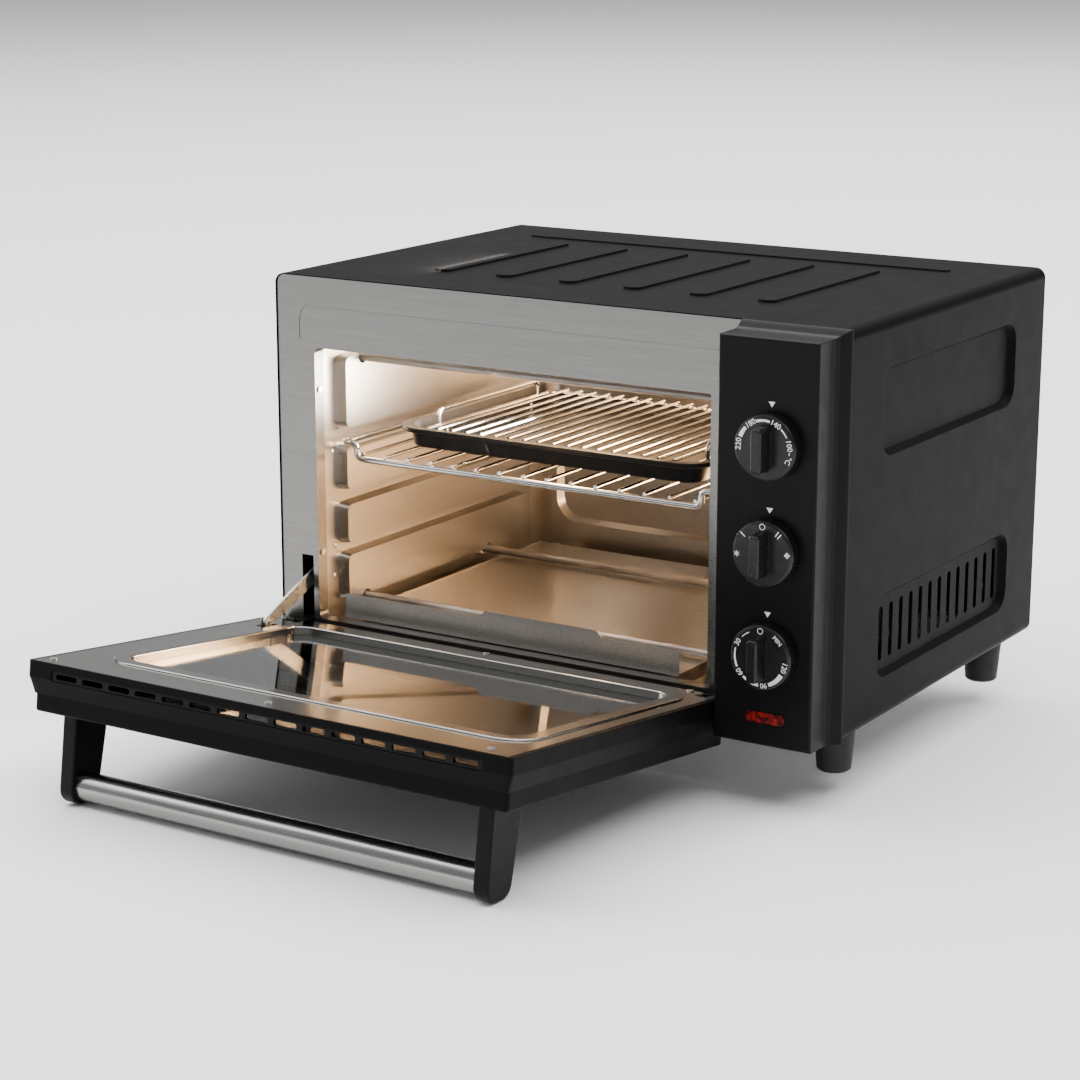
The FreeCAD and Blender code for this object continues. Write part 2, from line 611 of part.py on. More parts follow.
def side_wall(name, inner, outward):
    """An aluminised side wall: four panels pressed inwards, with holes for the elements' bushes."""
    wall = new_body(name)
    plate = sketch(wall, "YZ", inner)
    rectangle(plate, ("wall_front", "wall_rear"), ("floor_top-liner", "ceiling+liner"))
    pad(wall, plate, "YZ", outward, "liner")
    for low, high in runner_bands():
        drawing = sketch(wall, "YZ", inner)
        round_rectangle(drawing, ("front+press_front", "front+press_rear"), (low, high), "press_corner")
        pad(wall, drawing, "YZ", -outward, "press_depth", 8)
    for low, high in runner_bands():
        drawing = sketch(wall, "YZ", f"{inner}+({outward})*liner")
        round_rectangle(drawing, ("front+press_front+liner", "front+press_rear-liner"),
                        (f"{low}+liner", f"{high}-liner"), "press_corner-liner")
        pocket(wall, drawing, "YZ", -outward, "press_depth", 8)
    holes = sketch(wall, "YZ", f"{inner}+({outward})*2*liner")
    for y, z in element_places():
        circle(holes, y, z, "bush_radius+gap")
    pocket(wall, holes, "YZ", -outward, "press_depth+4*liner")
    if outward > 0:
        fan_hole = sketch(wall, "YZ", f"{inner}+2*liner")
        circle(fan_hole, "fan_y", "fan_z", "fan_opening+gap")
        pocket(wall, fan_hole, "YZ", -1, "press_depth+4*liner")
    return node(name, wall)


def cavity():
    side_wall("cavity_left_wall", "cavity_left", -1)
    side_wall("cavity_right_wall", "cavity_right", 1)
    node("cavity_top", box(("cavity_left", "cavity_right"), ("wall_front", "wall_rear"),
                           ("ceiling", "ceiling+liner")))
    floor = new_body("cavity_floor")
    sheet_outline = sketch(floor, "XY", "floor_top-liner")
    rectangle(sheet_outline, ("cavity_left", "cavity_right"), ("wall_front", "wall_rear"))
    pad(floor, sheet_outline, "XY", 1, "liner")
    runners = sketch(floor, "XY", "floor_top")
    for low in ("crumb_left+8", "crumb_right-20"):
        round_rectangle(runners, (low, f"{low}+12"), ("wall_front+6", "wall_rear-12"), "3")
    pad(floor, runners, "XY", 1, "crumb_z-0.1-floor_top", 12)
    node("cavity_floor", floor)
    back = new_body("cavity_back")
    outline = sketch(back, "XZ", "wall_rear")
    rectangle(outline, ("cavity_left-liner", "cavity_right+liner"), ("floor_top-liner", "ceiling+liner"))
    pad(back, outline, "XZ", 1, "liner")
    for kind, grow, start in ((pad, "liner", "wall_rear+liner"), (pocket, "0", "wall_rear")):
        drawing = sketch(back, "XZ", start)
        round_rectangle(drawing, (f"cavity_left+28-{grow}", f"cavity_right-28+{grow}"),
                        (f"floor_top+30-{grow}", f"ceiling-24+{grow}"), f"22+{grow}")
        kind(back, drawing, "XZ", 1, "7", 25)
    node("cavity_back", back)


def elements():
    """Four sheathed heating rods across the cavity, with their cold pins and ceramic bushes."""
    names = ["lower_front_element", "lower_rear_element", "upper_front_element", "upper_rear_element"]
    bushes = []
    for name, (y, z) in zip(names, element_places()):
        sheath = rod("x", "element_radius", "cavity_left-6", y, z, "cavity_right-cavity_left+12")
        pin = rod("x", "1.2", "cavity_left-13", y, z, "cavity_right-cavity_left+26")
        node(name, fuse(sheath, pin))
        for wall_x, flange_x in (("cavity_left", "cavity_left-4.8"),
                                 ("cavity_right", "cavity_right+1.8")):
            neck = rod("x", "bush_radius", f"{wall_x}-5", y, z, "10")
            flange = rod("x", "bush_flange", flange_x, y, z, "3")
            bore = rod("x", "element_radius", f"{wall_x}-8", y, z, "16")
            bushes.append(cut(fuse(neck, flange), bore))
    node("element_bushes", group(*bushes))


# ---- rack, baking tray, grill insert and crumb tray

def wire_rack():
    """Two side rails in the top grooves, drop-shouldered bars front and back, and thin rods on the bars."""
    x_left, x_right = number("cavity_left+rail_inset_left"), number("cavity_right-rail_inset")
    low_left, low_right = number("cavity_left+rack_shoulder"), number("cavity_right-rack_shoulder")
    y_front, y_rear = number("front+rack_front"), number("front+rack_rear")
    rail, thick, thin = number("rail_z"), number("rail_radius"), number("rod_radius")
    low = number("bar_z")
    solids = []
    for x in (x_left, x_right):
        solids.append(Part.makeCylinder(thick - 0.2, y_rear - y_front, Vector(x, y_front, rail),
                                        Vector(0, 1, 0)))
        for y in (y_front, y_rear):
            solids.append(Part.makeSphere(thick + 0.4, Vector(x, y, rail)))
    for y in (y_front, y_rear):
        points = [(x_left, y, rail), (low_left, y, rail), (low_left, y, low),
                  (low_right, y, low), (low_right, y, rail), (x_right, y, rail)]
        solids.append(bent_wire(points, thick, number("rack_drop") * 0.45))
    count = int(number("rod_count"))
    span = low_right - low_left - 4 * thick
    top_of_bar = low + thick + thin - 0.4
    for i in range(count):
        x = low_left + 2 * thick + span * i / (count - 1)
        solids.append(Part.makeCylinder(thin, y_rear - y_front, Vector(x, y_front, top_of_bar),
                                        Vector(0, 1, 0)))
    return feature_node("wire_rack", solids[0].multiFuse(solids[1:]))


def baking_tray():
    """A deep-drawn tray with sloping walls, a soft foot and a flat rolled rim."""
    tray = new_body("baking_tray")
    lip, wall = "tray_lip", "tray_sheet"
    outer = sketch(tray, "XY", "tray_top-tray_sheet")
    round_rectangle(outer, (f"tray_left+{lip}", f"tray_right-{lip}"),
                    (f"tray_nose+{lip}", f"tray_tail-{lip}"),
                    f"tray_corner-{lip}")
    pad(tray, outer, "XY", -1, f"tray_wall-{wall}", 14)
    rim = sketch(tray, "XY", "tray_top-tray_sheet")
    round_rectangle(rim, ("tray_left", "tray_right"), ("tray_nose", "tray_tail"), "tray_corner")
    pad(tray, rim, "XY", 1, wall)
    inner = sketch(tray, "XY", "tray_top")
    grow = f"({lip}+{wall})"
    round_rectangle(inner, (f"tray_left+{grow}", f"tray_right-{grow}"),
                    (f"tray_nose+{grow}", f"tray_tail-{grow}"),
                    f"tray_corner-{lip}-{wall}")
    pocket(tray, inner, "XY", -1, f"tray_wall-{wall}", 14)
    foot_z = number("tray_floor")
    round_body(tray, "2.5", lambda e: abs(e.BoundBox.ZMax - foot_z) < 0.01 and e.BoundBox.ZLength < 0.01)
    return node("baking_tray", tray)


def grill_insert():
    """The tray's wire insert: a rim wire, rods across it, four feet and a raised bail at each end."""
    thin, thick, slim = 1.4, 1.9, 1.6
    x0, x1 = number("tray_left+tray_lip+grill_margin"), number("tray_right-tray_lip-grill_margin")
    y0, y1 = number("tray_nose+tray_lip+grill_margin"), number("tray_tail-tray_lip-grill_margin")
    z = number("tray_top") - 5.5
    floor = number("tray_floor+tray_sheet") + 0.3
    corner = 12
    edges = [((x0 + corner, y0), (x1 - corner, y0)), ((x1, y0 + corner), (x1, y1 - corner)),
             ((x1 - corner, y1), (x0 + corner, y1)), ((x0, y1 - corner), (x0, y0 + corner))]
    centres = [(x1 - corner, y0 + corner), (x1 - corner, y1 - corner),
               (x0 + corner, y1 - corner), (x0 + corner, y0 + corner)]
    path = []
    for i, ((ax, ay), (bx, by)) in enumerate(edges):
        path.append(Part.LineSegment(Vector(ax, ay, z), Vector(bx, by, z)).toShape())
        turn = math.radians(-90 + 90 * i)
        cx, cy = centres[i]
        rim = [Vector(cx + corner * math.cos(turn + k * math.pi / 4),
                      cy + corner * math.sin(turn + k * math.pi / 4), z)
               for k in range(3)]
        path.append(Part.Arc(*rim).toShape())
    loop = Part.Wire(path)
    start = Vector(*edges[0][0], z)
    section = Part.Wire([Part.makeCircle(thick, start, Vector(1, 0, 0))])
    solids = [loop.makePipeShell([section], True, True)]
    count = int(number("grill_rod_count"))
    for i in range(count):
        x = x0 + corner + 3 + (x1 - x0 - 2 * corner - 6) * i / (count - 1)
        solids.append(Part.makeCylinder(thin, y1 - y0 + 1, Vector(x, y0 - 0.5, z + thick + thin - 0.6),
                                        Vector(0, 1, 0)))
    for x in (x0, x1):
        rise = z + 13
        points = [(x, y0 + 24, z), (x, y0 + 24, rise), (x, y1 - 24, rise), (x, y1 - 24, z)]
        solids.append(bent_wire(points, slim, 5))
        for y in (y0 + 34, y1 - 34):
            solids.append(Part.makeCylinder(slim, z - floor, Vector(x, y, floor), Vector(0, 0, 1)))
    return feature_node("grill_insert", solids[0].multiFuse(solids[1:]))


def crumb_tray():
    """A thin tray over the cavity's floor, its front turned up with a raised tab in the middle."""
    tray = new_body("crumb_tray")
    side = sketch(tray, "XY", "crumb_z")
    rectangle(side, ("crumb_left", "crumb_right"), ("crumb_nose", "crumb_tail"))
    pad(tray, side, "XY", 1, "crumb_sheet")
    wall = sketch(tray, "XZ", "crumb_nose")
    low, high, tip = "crumb_z", "crumb_z+crumb_wall", "crumb_z+crumb_wall+crumb_tab_rise"
    half = "crumb_tab_width/2"
    polygon(wall, [
        ("crumb_left", low), ("crumb_right", low), ("crumb_right", high), (f"middle+30+{half}+5", high),
        (f"middle+30+{half}", tip), (f"middle+30-{half}", tip), (f"middle+30-{half}-5", high),
        ("crumb_left", high)])
    pad(tray, wall, "XZ", 1, "crumb_sheet")
    for x in ("crumb_left", "crumb_right-crumb_sheet"):
        rib = sketch(tray, "YZ", x)
        rectangle(rib, ("crumb_nose", "crumb_tail"), ("crumb_z", "crumb_z+1.5"))
        pad(tray, rib, "YZ", 1, "crumb_sheet")
    return node("crumb_tray", tray)


# ---- convection fan in the control bay

def fan():
    y, z = "fan_y", "fan_z"
    deep = "fan_pocket+press_depth"
    drum = rod("x", "fan_opening", "grille_x", y, z, deep)
    hollow = rod("x", "fan_opening-liner", "grille_x-1", y, z, f"{deep}-liner+1")
    bore = rod("x", "shaft_radius+1", "grille_x", y, z, f"{deep}+2")
    node("fan_pocket", cut(drum, hollow, bore))

    cover = new_body("fan_cover")
    disc = sketch(cover, "YZ", "grille_x-liner")
    circle(disc, y, z, "fan_opening+1.5")
    pad(cover, disc, "YZ", 1, "liner")
    spoke = sketch(cover, "YZ", "grille_x")
    round_rectangle(spoke, (f"{y}+11", f"{y}+32"), (f"{z}-1.3", f"{z}+1.3"), "1.2")
    slit = pocket(cover, spoke, "YZ", -1, "2*liner")
    ring = cover.newObject("PartDesign::PolarPattern", "pattern")
    ring.Originals = [slit]
    doc.recompute()
    rim = number("fan_opening+1.5")
    edge = [n for n, e in enumerate(slit.Shape.Edges, 1)
            if e.Curve.TypeId == "Part::GeomCircle" and abs(e.Curve.Radius - rim) < 0.01][0]
    ring.Axis = (slit, [f"Edge{edge}"])
    ring.Angle = 360
    ring.Occurrences = 18
    cover.Tip = ring
    node("fan_cover", cover)

    blades = []
    hub_x = "cavity_right+2"
    hub_solid = rod("x", "9", hub_x, y, z, "8")
    plate = rod("x", "24", f"{hub_x}+7", y, z, "1")
    bore = rod("x", "shaft_radius", f"{hub_x}-1", y, z, "10")
    for i in range(8):
        blade = box(("0", "7.5"), ("-0.4", "0.4"), ("0", "fan_radius-14"))
        turn = i * math.pi / 4
        blade.Placement = Placement(Vector(), Rotation(Vector(1, 0, 0), math.degrees(turn)))
        place(blade, hub_x, f"fan_y-14*{math.sin(turn):.6f}", f"fan_z+14*{math.cos(turn):.6f}")
        blades.append(blade)
    node("fan_blade", cut(fuse(hub_solid, plate, *blades), bore))
    node("fan_shaft", rod("x", "shaft_radius", f"{hub_x}-1", y, z, "shield_x+sheet+24-cavity_right-1"))
    node("control_bay_shield", cut(
        box(("shield_x", "shield_x+sheet"), ("wall_front", "wall_rear"), ("base+8", "top-8")),
        rod("x", "shaft_radius+2", "shield_x-5", y, z, "20")))
    stack = box(("shield_x+sheet+6", "shield_x+sheet+28"), ("fan_y-24", "fan_y+24"),
                ("fan_z-22", "fan_z+26"))
    coil = box(("shield_x+sheet+8", "shield_x+sheet+32"), ("fan_y-16", "fan_y+16"),
               ("fan_z+26", "fan_z+42"))
    nose = rod("x", "9", "shield_x+sheet", y, z, "6")
    bearing = rod("x", "shaft_radius+shaft_fit", "shield_x", y, z, "40")
    node("fan_motor", cut(fuse(stack, coil, nose), bearing))


# ---- control panel, knobs and switches

def control_panel():
    """A hollow moulding whose right and top edges flare out to the casing in an S-curve."""
    panel = new_body("control_panel")
    plan = sketch(panel, "XY", "base")
    steps = [(0.0, 0.0), (0.25, 0.05), (0.5, 0.25), (0.75, 0.75), (0.88, 0.95), (1.0, 1.0)]
    flare_depth = "14"
    edge = [(f"right-panel_flare*(1-{s})", f"front-{flare_depth}*(1-{t})") for t, s in steps]
    polygon(plan, [("panel_left", "front"), ("panel_left", "panel_face"),
                   ("right-panel_flare", "panel_face")] + edge)
    pad(panel, plan, "XY", 1, "casing_height")
    side = sketch(panel, "YZ", "panel_left-1")
    brow = [(f"front-{flare_depth}*(1-{t})", f"top-panel_drop*(1-{s})") for t, s in steps]
    ends = [("panel_face-1", "top+1"), ("panel_face-1", "top-panel_drop")]
    polygon(side, ends + brow + [("front", "top+1")])
    pocket(panel, side, "YZ", 1, "panel_width+2")
    face = number("panel_face")
    round_body(panel, "1.6", lambda e: e.BoundBox.YMax < face + 0.01)
    inside = sketch(panel, "XZ", "front")
    rectangle(inside, ("panel_left+panel_wall", "right-panel_flare-panel_wall"),
              ("base+panel_wall", "top-panel_drop-panel_wall"))
    pocket(panel, inside, "XZ", -1, "panel_depth-panel_wall")
    holes = sketch(panel, "XZ", "panel_face")
    for i in range(3):
        circle(holes, "knob_x", f"base+knob_low+{i}*knob_pitch", "shaft_radius+1")
    lamp_low = "base+lamp_height-lamp_width/2"
    round_rectangle(holes, ("knob_x-lamp_length/2", "knob_x+lamp_length/2"),
                    (lamp_low, f"{lamp_low}+lamp_width"), "lamp_width*0.45")
    pocket(panel, holes, "XZ", 1, "panel_wall+1")
    return node("control_panel", panel)


def knob(name, height):
    """A round dial with a tapered grip bar, pressed on its shaft: drawn along Z, turned to the front."""
    dial = new_body(name)
    turned(dial, [("0", "0"), ("knob_radius", "0"), ("knob_radius", "knob_thick-2"),
                  ("knob_radius-0.6", "knob_thick-0.6"), ("knob_radius-2", "knob_thick"),
                  ("0", "knob_thick")])
    bar = sketch(dial, "XY", "knob_thick-0.2")
    round_rectangle(bar, ("-grip_width/2", "grip_width/2"), ("-knob_radius+7", "knob_radius-7"),
                    "grip_width*0.35")
    pad(dial, bar, "XY", 1, "grip_proud", 5)
    crown = number("knob_thick-0.2+grip_proud")
    round_body(dial, "1.4", lambda e: abs(e.BoundBox.ZMin - crown) < 0.01)
    socket = sketch(dial, "XY", "0")
    circle(socket, "0", "0", "shaft_radius")
    pocket(dial, socket, "XY", 1, "knob_thick-2")
    dial.Placement = Placement(Vector(), Rotation(Vector(1, 0, 0), 90))
    place(dial, "knob_x", "panel_face-knob_gap", height)
    return node(name, dial)


def controls():
    heights = [f"base+knob_low+{i}*knob_pitch" for i in (2, 1, 0)]
    names = ["temperature", "function", "timer"]
    bodies = {"temperature": "thermostat", "function": "function_switch", "timer": "timer"}
    for name, z in zip(names, heights):
        knob(f"{name}_knob", z)
        start = "panel_face-knob_gap-knob_thick+2.2"
        shaft_end = "frame_rear+switch_depth-8"
        node(f"{name}_shaft", rod("y", "shaft_radius", "knob_x", start, z, f"{shaft_end}-({start})"))
        deep = "switch_depth*1.6" if name == "timer" else "switch_depth"
        if name == "timer":
            drum = rod("y", "27", "knob_x", "frame_rear", z, deep)
            extra = rod("y", "19", "knob_x", f"frame_rear+{deep}", z, "8")
        elif name == "function":
            drum = rod("y", "20", "knob_x", "frame_rear", z, deep)
            extra = box(("knob_x-23", "knob_x+23"), ("frame_rear+8", "frame_rear+14"),
                        (f"{z}-9", f"{z}+9"))
        else:
            drum = box(("knob_x-17", "knob_x+17"), ("frame_rear", f"frame_rear+{deep}"),
                       (f"{z}-22", f"{z}+22"))
            extra = box(("knob_x-6", "knob_x+6"), (f"frame_rear+{deep}", f"frame_rear+{deep}+10"),
                        (f"{z}-18", f"{z}+18"))
        nose = rod("y", "shaft_radius+3.2", "knob_x", "frame_face-4", z, "frame_sheet+5")
        bore = rod("y", "shaft_radius+shaft_fit", "knob_x", "frame_face-6", z, "frame_sheet+switch_depth")
        node(bodies[name], cut(fuse(drum, extra, nose), bore))
    lens_low = "base+lamp_height-lamp_width/2+gap/3"
    lens = new_body("indicator_lens")
    outline = sketch(lens, "XZ", "panel_face-0.8")
    round_rectangle(outline, ("knob_x-lamp_length/2+gap/3", "knob_x+lamp_length/2-gap/3"),
                    (lens_low, f"{lens_low}+lamp_width-2*gap/3"), "lamp_width*0.45-gap/3")
    pad(lens, outline, "XZ", 1, "6")
    node("indicator_lens", lens)
    glow = rod("y", "3", "knob_x", "panel_face+6.2", "base+lamp_height", "22")
    node("neon_lamp", glow)


def electrics():
    """The safety cut-out on the cavity's top, the terminal block and the mains lead's grommet."""
    base_z = "ceiling+liner"
    can = rod("z", "8", "middle+60", "0", base_z, "9")
    ear = box(("middle+48", "middle+72"), ("-5", "5"), (base_z, f"{base_z}+1.2"))
    node("thermal_cutout", fuse(can, ear))
    x, y = "right-70", "rear-60"
    block = box((x, f"{x}+44"), (y, f"{y}+20"), ("base+2*sheet", "base+2*sheet+16"))
    ways = [rod("z", "3", f"{x}+{8 + 14 * i}", f"{y}+10", "base+2*sheet+8", "20") for i in range(3)]
    node("terminal_block", cut(block, *ways))
    centre = ("right-40", "base+35")
    collar = rod("y", "inlet_boss", centre[0], "rear-4", centre[1], "inlet_length-7")
    neck = rod("y", "inlet_boss-2", centre[0], "rear-11", centre[1], "10")
    hole = rod("y", "inlet_radius", centre[0], "rear-20", centre[1], "40")
    node("lead_grommet", cut(fuse(collar, neck), hole))


def casing_screws():
    """Pan-head screws that hold the back to its flanges, and two more in the oven's mouth."""
    screws = []
    for x, z in back_screw_places():
        head = rod("y", "screw_head*0.8", x, "rear-4", z, "1.8")
        screws.append(fuse(head, rod("y", "screw_radius*0.8", x, "rear-8", z, "5")))
    for z in LIP_SCREWS:
        head = rod("x", "2.6", "opening_left", "front+6.5", z, "1.2")
        screws.append(fuse(head, rod("x", "1.4", "opening_left-4", "front+6.5", z, "4.5")))
    node("casing_screws", group(*screws))


# ---- door, drawn shut

DOOR_SCREWS = [("door_left+12", "door_head-13"), ("door_middle", "door_head-13"),
               ("door_right-24", "door_head-13"),
               ("door_left+12", "door_foot+door_round+3.5"), ("door_middle", "door_foot+door_round+3.5"),
               ("door_right-27.7", "door_foot+door_round+3.5")]


def door_shell():
    """The black outer door: a flange, a flared shoulder and a hollow body, window and rim vents."""
    shell = new_body("door_shell")
    flange = sketch(shell, "XZ", "door_inner")
    round_rectangle(flange, ("door_left", "door_right"), ("door_foot", "door_head"), "3")
    pad(shell, flange, "XZ", -1, "door_flange")
    flare_angle = math.degrees(math.atan2(number("door_flare_inset"), number("door_flare")))
    shoulder = sketch(shell, "XZ", "door_inner-door_flange")
    round_rectangle(shoulder, ("door_left", "door_right"), ("door_foot", "door_head"), "3")
    pad(shell, shoulder, "XZ", -1, "door_flare", flare_angle)
    deep = sketch(shell, "XZ", "door_inner-door_flange-door_flare")
    inset = "door_flare_inset"
    round_rectangle(deep, (f"door_left+{inset}", f"door_right-{inset}"),
                    (f"door_foot+{inset}", f"door_head-{inset}"), "3")
    pad(shell, deep, "XZ", -1, "door_thick-door_flange-door_flare")
    outer_y = number("door_outer")
    round_body(shell, "2", lambda e: abs(e.BoundBox.YMax - outer_y) < 0.01)
    corner = sketch(shell, "YZ", "door_left-1")
    outside_corner(corner, "door_inner", "door_foot", "door_round")
    pocket(shell, corner, "YZ", 1, "door_right-door_left+2")
    hollow = sketch(shell, "XZ", "door_inner")
    wall = "door_flare_inset+door_wall"
    rectangle(hollow, (f"door_left+{wall}", f"door_right-({wall})"),
              (f"door_foot+{wall}", f"door_head-({wall})"))
    pocket(shell, hollow, "XZ", -1, "door_thick-door_wall")
    seat = sketch(shell, "XZ", "door_inner")
    rectangle(seat, ("door_left+liner_inset-gap", "door_right-liner_inset+gap"),
              ("door_foot+door_round-gap", "door_head-1"))
    pocket(shell, seat, "XZ", -1, "liner-liner_proud+0.05")
    window = sketch(shell, "XZ", "door_outer+door_wall")
    round_rectangle(window, ("door_left+window_frame", "door_right-window_frame"),
                    ("door_foot+window_frame", "door_head-window_frame-16"), "8")
    pocket(shell, window, "XZ", -1, "door_wall+1")
    for x, wide in (("slot_left", "bracket_width"), ("lug_x", "lug_width")):
        notch = sketch(shell, "XY", "door_foot-1")
        width = f"({wide}/2+2)"
        rectangle(notch, (f"{x}-{width}", f"{x}+{width}"), ("hinge_y-bracket_radius-1.5", "door_inner+1"))
        pocket(shell, notch, "XY", 1, "hinge_z+bracket_crown+1.5-door_foot+1")
    strip = sketch(shell, "XY", "door_head")
    depth = "door_inner-vent_depth"
    half_run = "(vent_pitch*(vent_count-1)+vent_length)/2"
    round_rectangle(strip, (f"door_middle-{half_run}-4", f"door_middle+{half_run}+4"),
                    (f"{depth}-vent_width/2-gap-1.2", f"{depth}+vent_width/2+gap+1.2"), "1.5")
    pocket(shell, strip, "XY", -1, "door_flare_inset+door_wall+1")
    return node("door_shell", shell)


def vent_strip():
    """The slotted bar set in the door's free edge."""
    bar = new_body("door_vent_strip")
    depth, half_run = "door_inner-vent_depth", "(vent_pitch*(vent_count-1)+vent_length)/2"
    outline = sketch(bar, "XY", "door_head-0.8")
    round_rectangle(outline, (f"door_middle-{half_run}-4+gap/3", f"door_middle+{half_run}+4-gap/3"),
                    (f"{depth}-vent_width/2-1.2-gap+gap/3", f"{depth}+vent_width/2+1.2+gap-gap/3"), "1.4")
    pad(bar, outline, "XY", -1, "door_wall")
    first = f"door_middle-{half_run}"
    drawing = sketch(bar, "XY", "door_head")
    round_rectangle(drawing, (first, f"{first}+vent_length"),
                    (f"{depth}-vent_width/2", f"{depth}+vent_width/2"), "vent_width*0.4")
    slot = pocket(bar, drawing, "XY", -1, "door_wall+3")
    line_up(bar, slot, drawing, "H_Axis", "vent_pitch*(vent_count-1)", int(number("vent_count")))
    return node("door_vent_strip", swing(bar))


def door_liner():
    """The door's inner steel panel: a rolled bead round the window and a well for the inner glass."""
    panel = new_body("door_inner_panel")
    face = "door_inner+liner_proud"
    outline = sketch(panel, "XZ", face)
    rectangle(outline, ("door_left+liner_inset", "door_right-liner_inset"),
              ("door_foot+door_round", "door_head-1.3"))
    pad(panel, outline, "XZ", -1, "liner")
    bead = sketch(panel, "XZ", face)
    round_rectangle(bead, ("window_left-bead_width", "window_right+bead_width"),
                    ("window_low-bead_width", "window_high+bead_width"), "26")
    pad(panel, bead, "XZ", 1, "bead_rise")
    crest = number(f"{face}+bead_rise")
    round_body(panel, "bead_rise*0.9", lambda e: abs(e.BoundBox.YMin - crest) < 0.01)
    well = sketch(panel, "XZ", face)
    round_rectangle(well, ("window_left-liner", "window_right+liner"),
                    ("window_low-liner", "window_high+liner"), "14+liner")
    pad(panel, well, "XZ", -1, "glass_depth+liner_proud")
    opening = sketch(panel, "XZ", f"{face}+bead_rise")
    round_rectangle(opening, ("window_left", "window_right"), ("window_low", "window_high"), "14")
    pocket(panel, opening, "XZ", -1, "glass_depth+liner_proud+bead_rise+2")
    round_body(panel, "bead_rise*0.9",
               lambda e: abs(e.BoundBox.YMin - crest) < 0.01 and e.BoundBox.YLength < 0.01
               and number("window_left-1") < e.BoundBox.Center.x < number("window_right+1"))
    notch = sketch(panel, "XZ", f"{face}+1")
    for x, wide in (("slot_left", "bracket_width"), ("lug_x", "lug_width")):
        width = f"({wide}/2+2)"
        rectangle(notch, (f"{x}-{width}", f"{x}+{width}"), ("door_foot", "hinge_z+bracket_crown+1.5"))
    rectangle(notch, ("slot_left-5", "slot_left+5"),
              ("hinge_z+arm_pivot_along-9", "hinge_z+arm_pivot_along+9"))
    pocket(panel, notch, "XZ", -1, "liner+2")
    holes = sketch(panel, "XZ", f"{face}+1")
    for x, z in DOOR_SCREWS:
        circle(holes, x, z, "1.5")
    pocket(panel, holes, "XZ", -1, "liner+2")
    return node("door_inner_panel", swing(panel))


def door_glass():
    inner = new_body("inner_glass")
    outline = sketch(inner, "XZ", "glass_y-gap/3")
    round_rectangle(outline, ("window_left-glass_lap", "window_right+glass_lap"),
                    ("window_low-glass_lap", "window_high+glass_lap"), "6")
    pad(inner, outline, "XZ", -1, "glass_sheet")
    node("inner_glass", swing(inner))
    outer = new_body("outer_glass")
    pane = sketch(outer, "XZ", "door_outer+door_wall+gap/3")
    margin = "window_frame-6"
    round_rectangle(pane, (f"door_left+{margin}", f"door_right-({margin})"),
                    (f"door_foot+{margin}", f"door_head-({margin})-16"), "6")
    pad(outer, pane, "XZ", 1, "glass_sheet")
    node("outer_glass", swing(outer))


def door_screws():
    screws = []
    face = "door_inner+liner_proud"
    for x, z in DOOR_SCREWS:
        head = rod("y", "2.6", x, face, z, "0.9")
        screws.append(fuse(head, rod("y", "1.4", x, f"{face}-5", z, "5.2")))
    node("door_screws", swing(group(*screws)))


def handle():
    """A brushed bar between two tapered blades that stand out from the door near its free edge."""
    tip, span = "door_inner-handle_reach", "handle_span"
    axis_z = "door_head-handle_along"
    for name, low in (("left_handle_bracket", f"door_middle-{span}"),
                      ("right_handle_bracket", f"door_middle+{span}-handle_plate")):
        blade = new_body(name)
        outline = sketch(blade, "YZ", low)
        polygon(outline, [
            ("door_outer", f"{axis_z}+handle_root-5"), ("door_outer", f"{axis_z}-handle_root-5"),
            (tip, f"{axis_z}-handle_tip"), (tip, f"{axis_z}+handle_tip")])
        pad(blade, outline, "YZ", 1, "handle_plate")
        tip_y = number(tip)
        round_body(blade, "11", lambda e: runs(e, "x") and abs(e.BoundBox.Center.y - tip_y) < 0.01)
        outer_face = number("door_outer-0.01")
        round_body(blade, "1.5", lambda e: e.BoundBox.XLength < 0.01 and e.BoundBox.YMax < outer_face)
        node(name, swing(blade))
    bar_place = (f"door_middle-{span}+handle_plate", "door_inner-handle_bar_depth", axis_z)
    bar_length = f"2*{span}-2*handle_plate"
    tube = cut(rod("x", "handle_bar_radius", *bar_place, bar_length),
               rod("x", "handle_bar_radius-1.5", *bar_place, bar_length))
    node("handle_bar", swing(group(tube)))


# ---- hinges

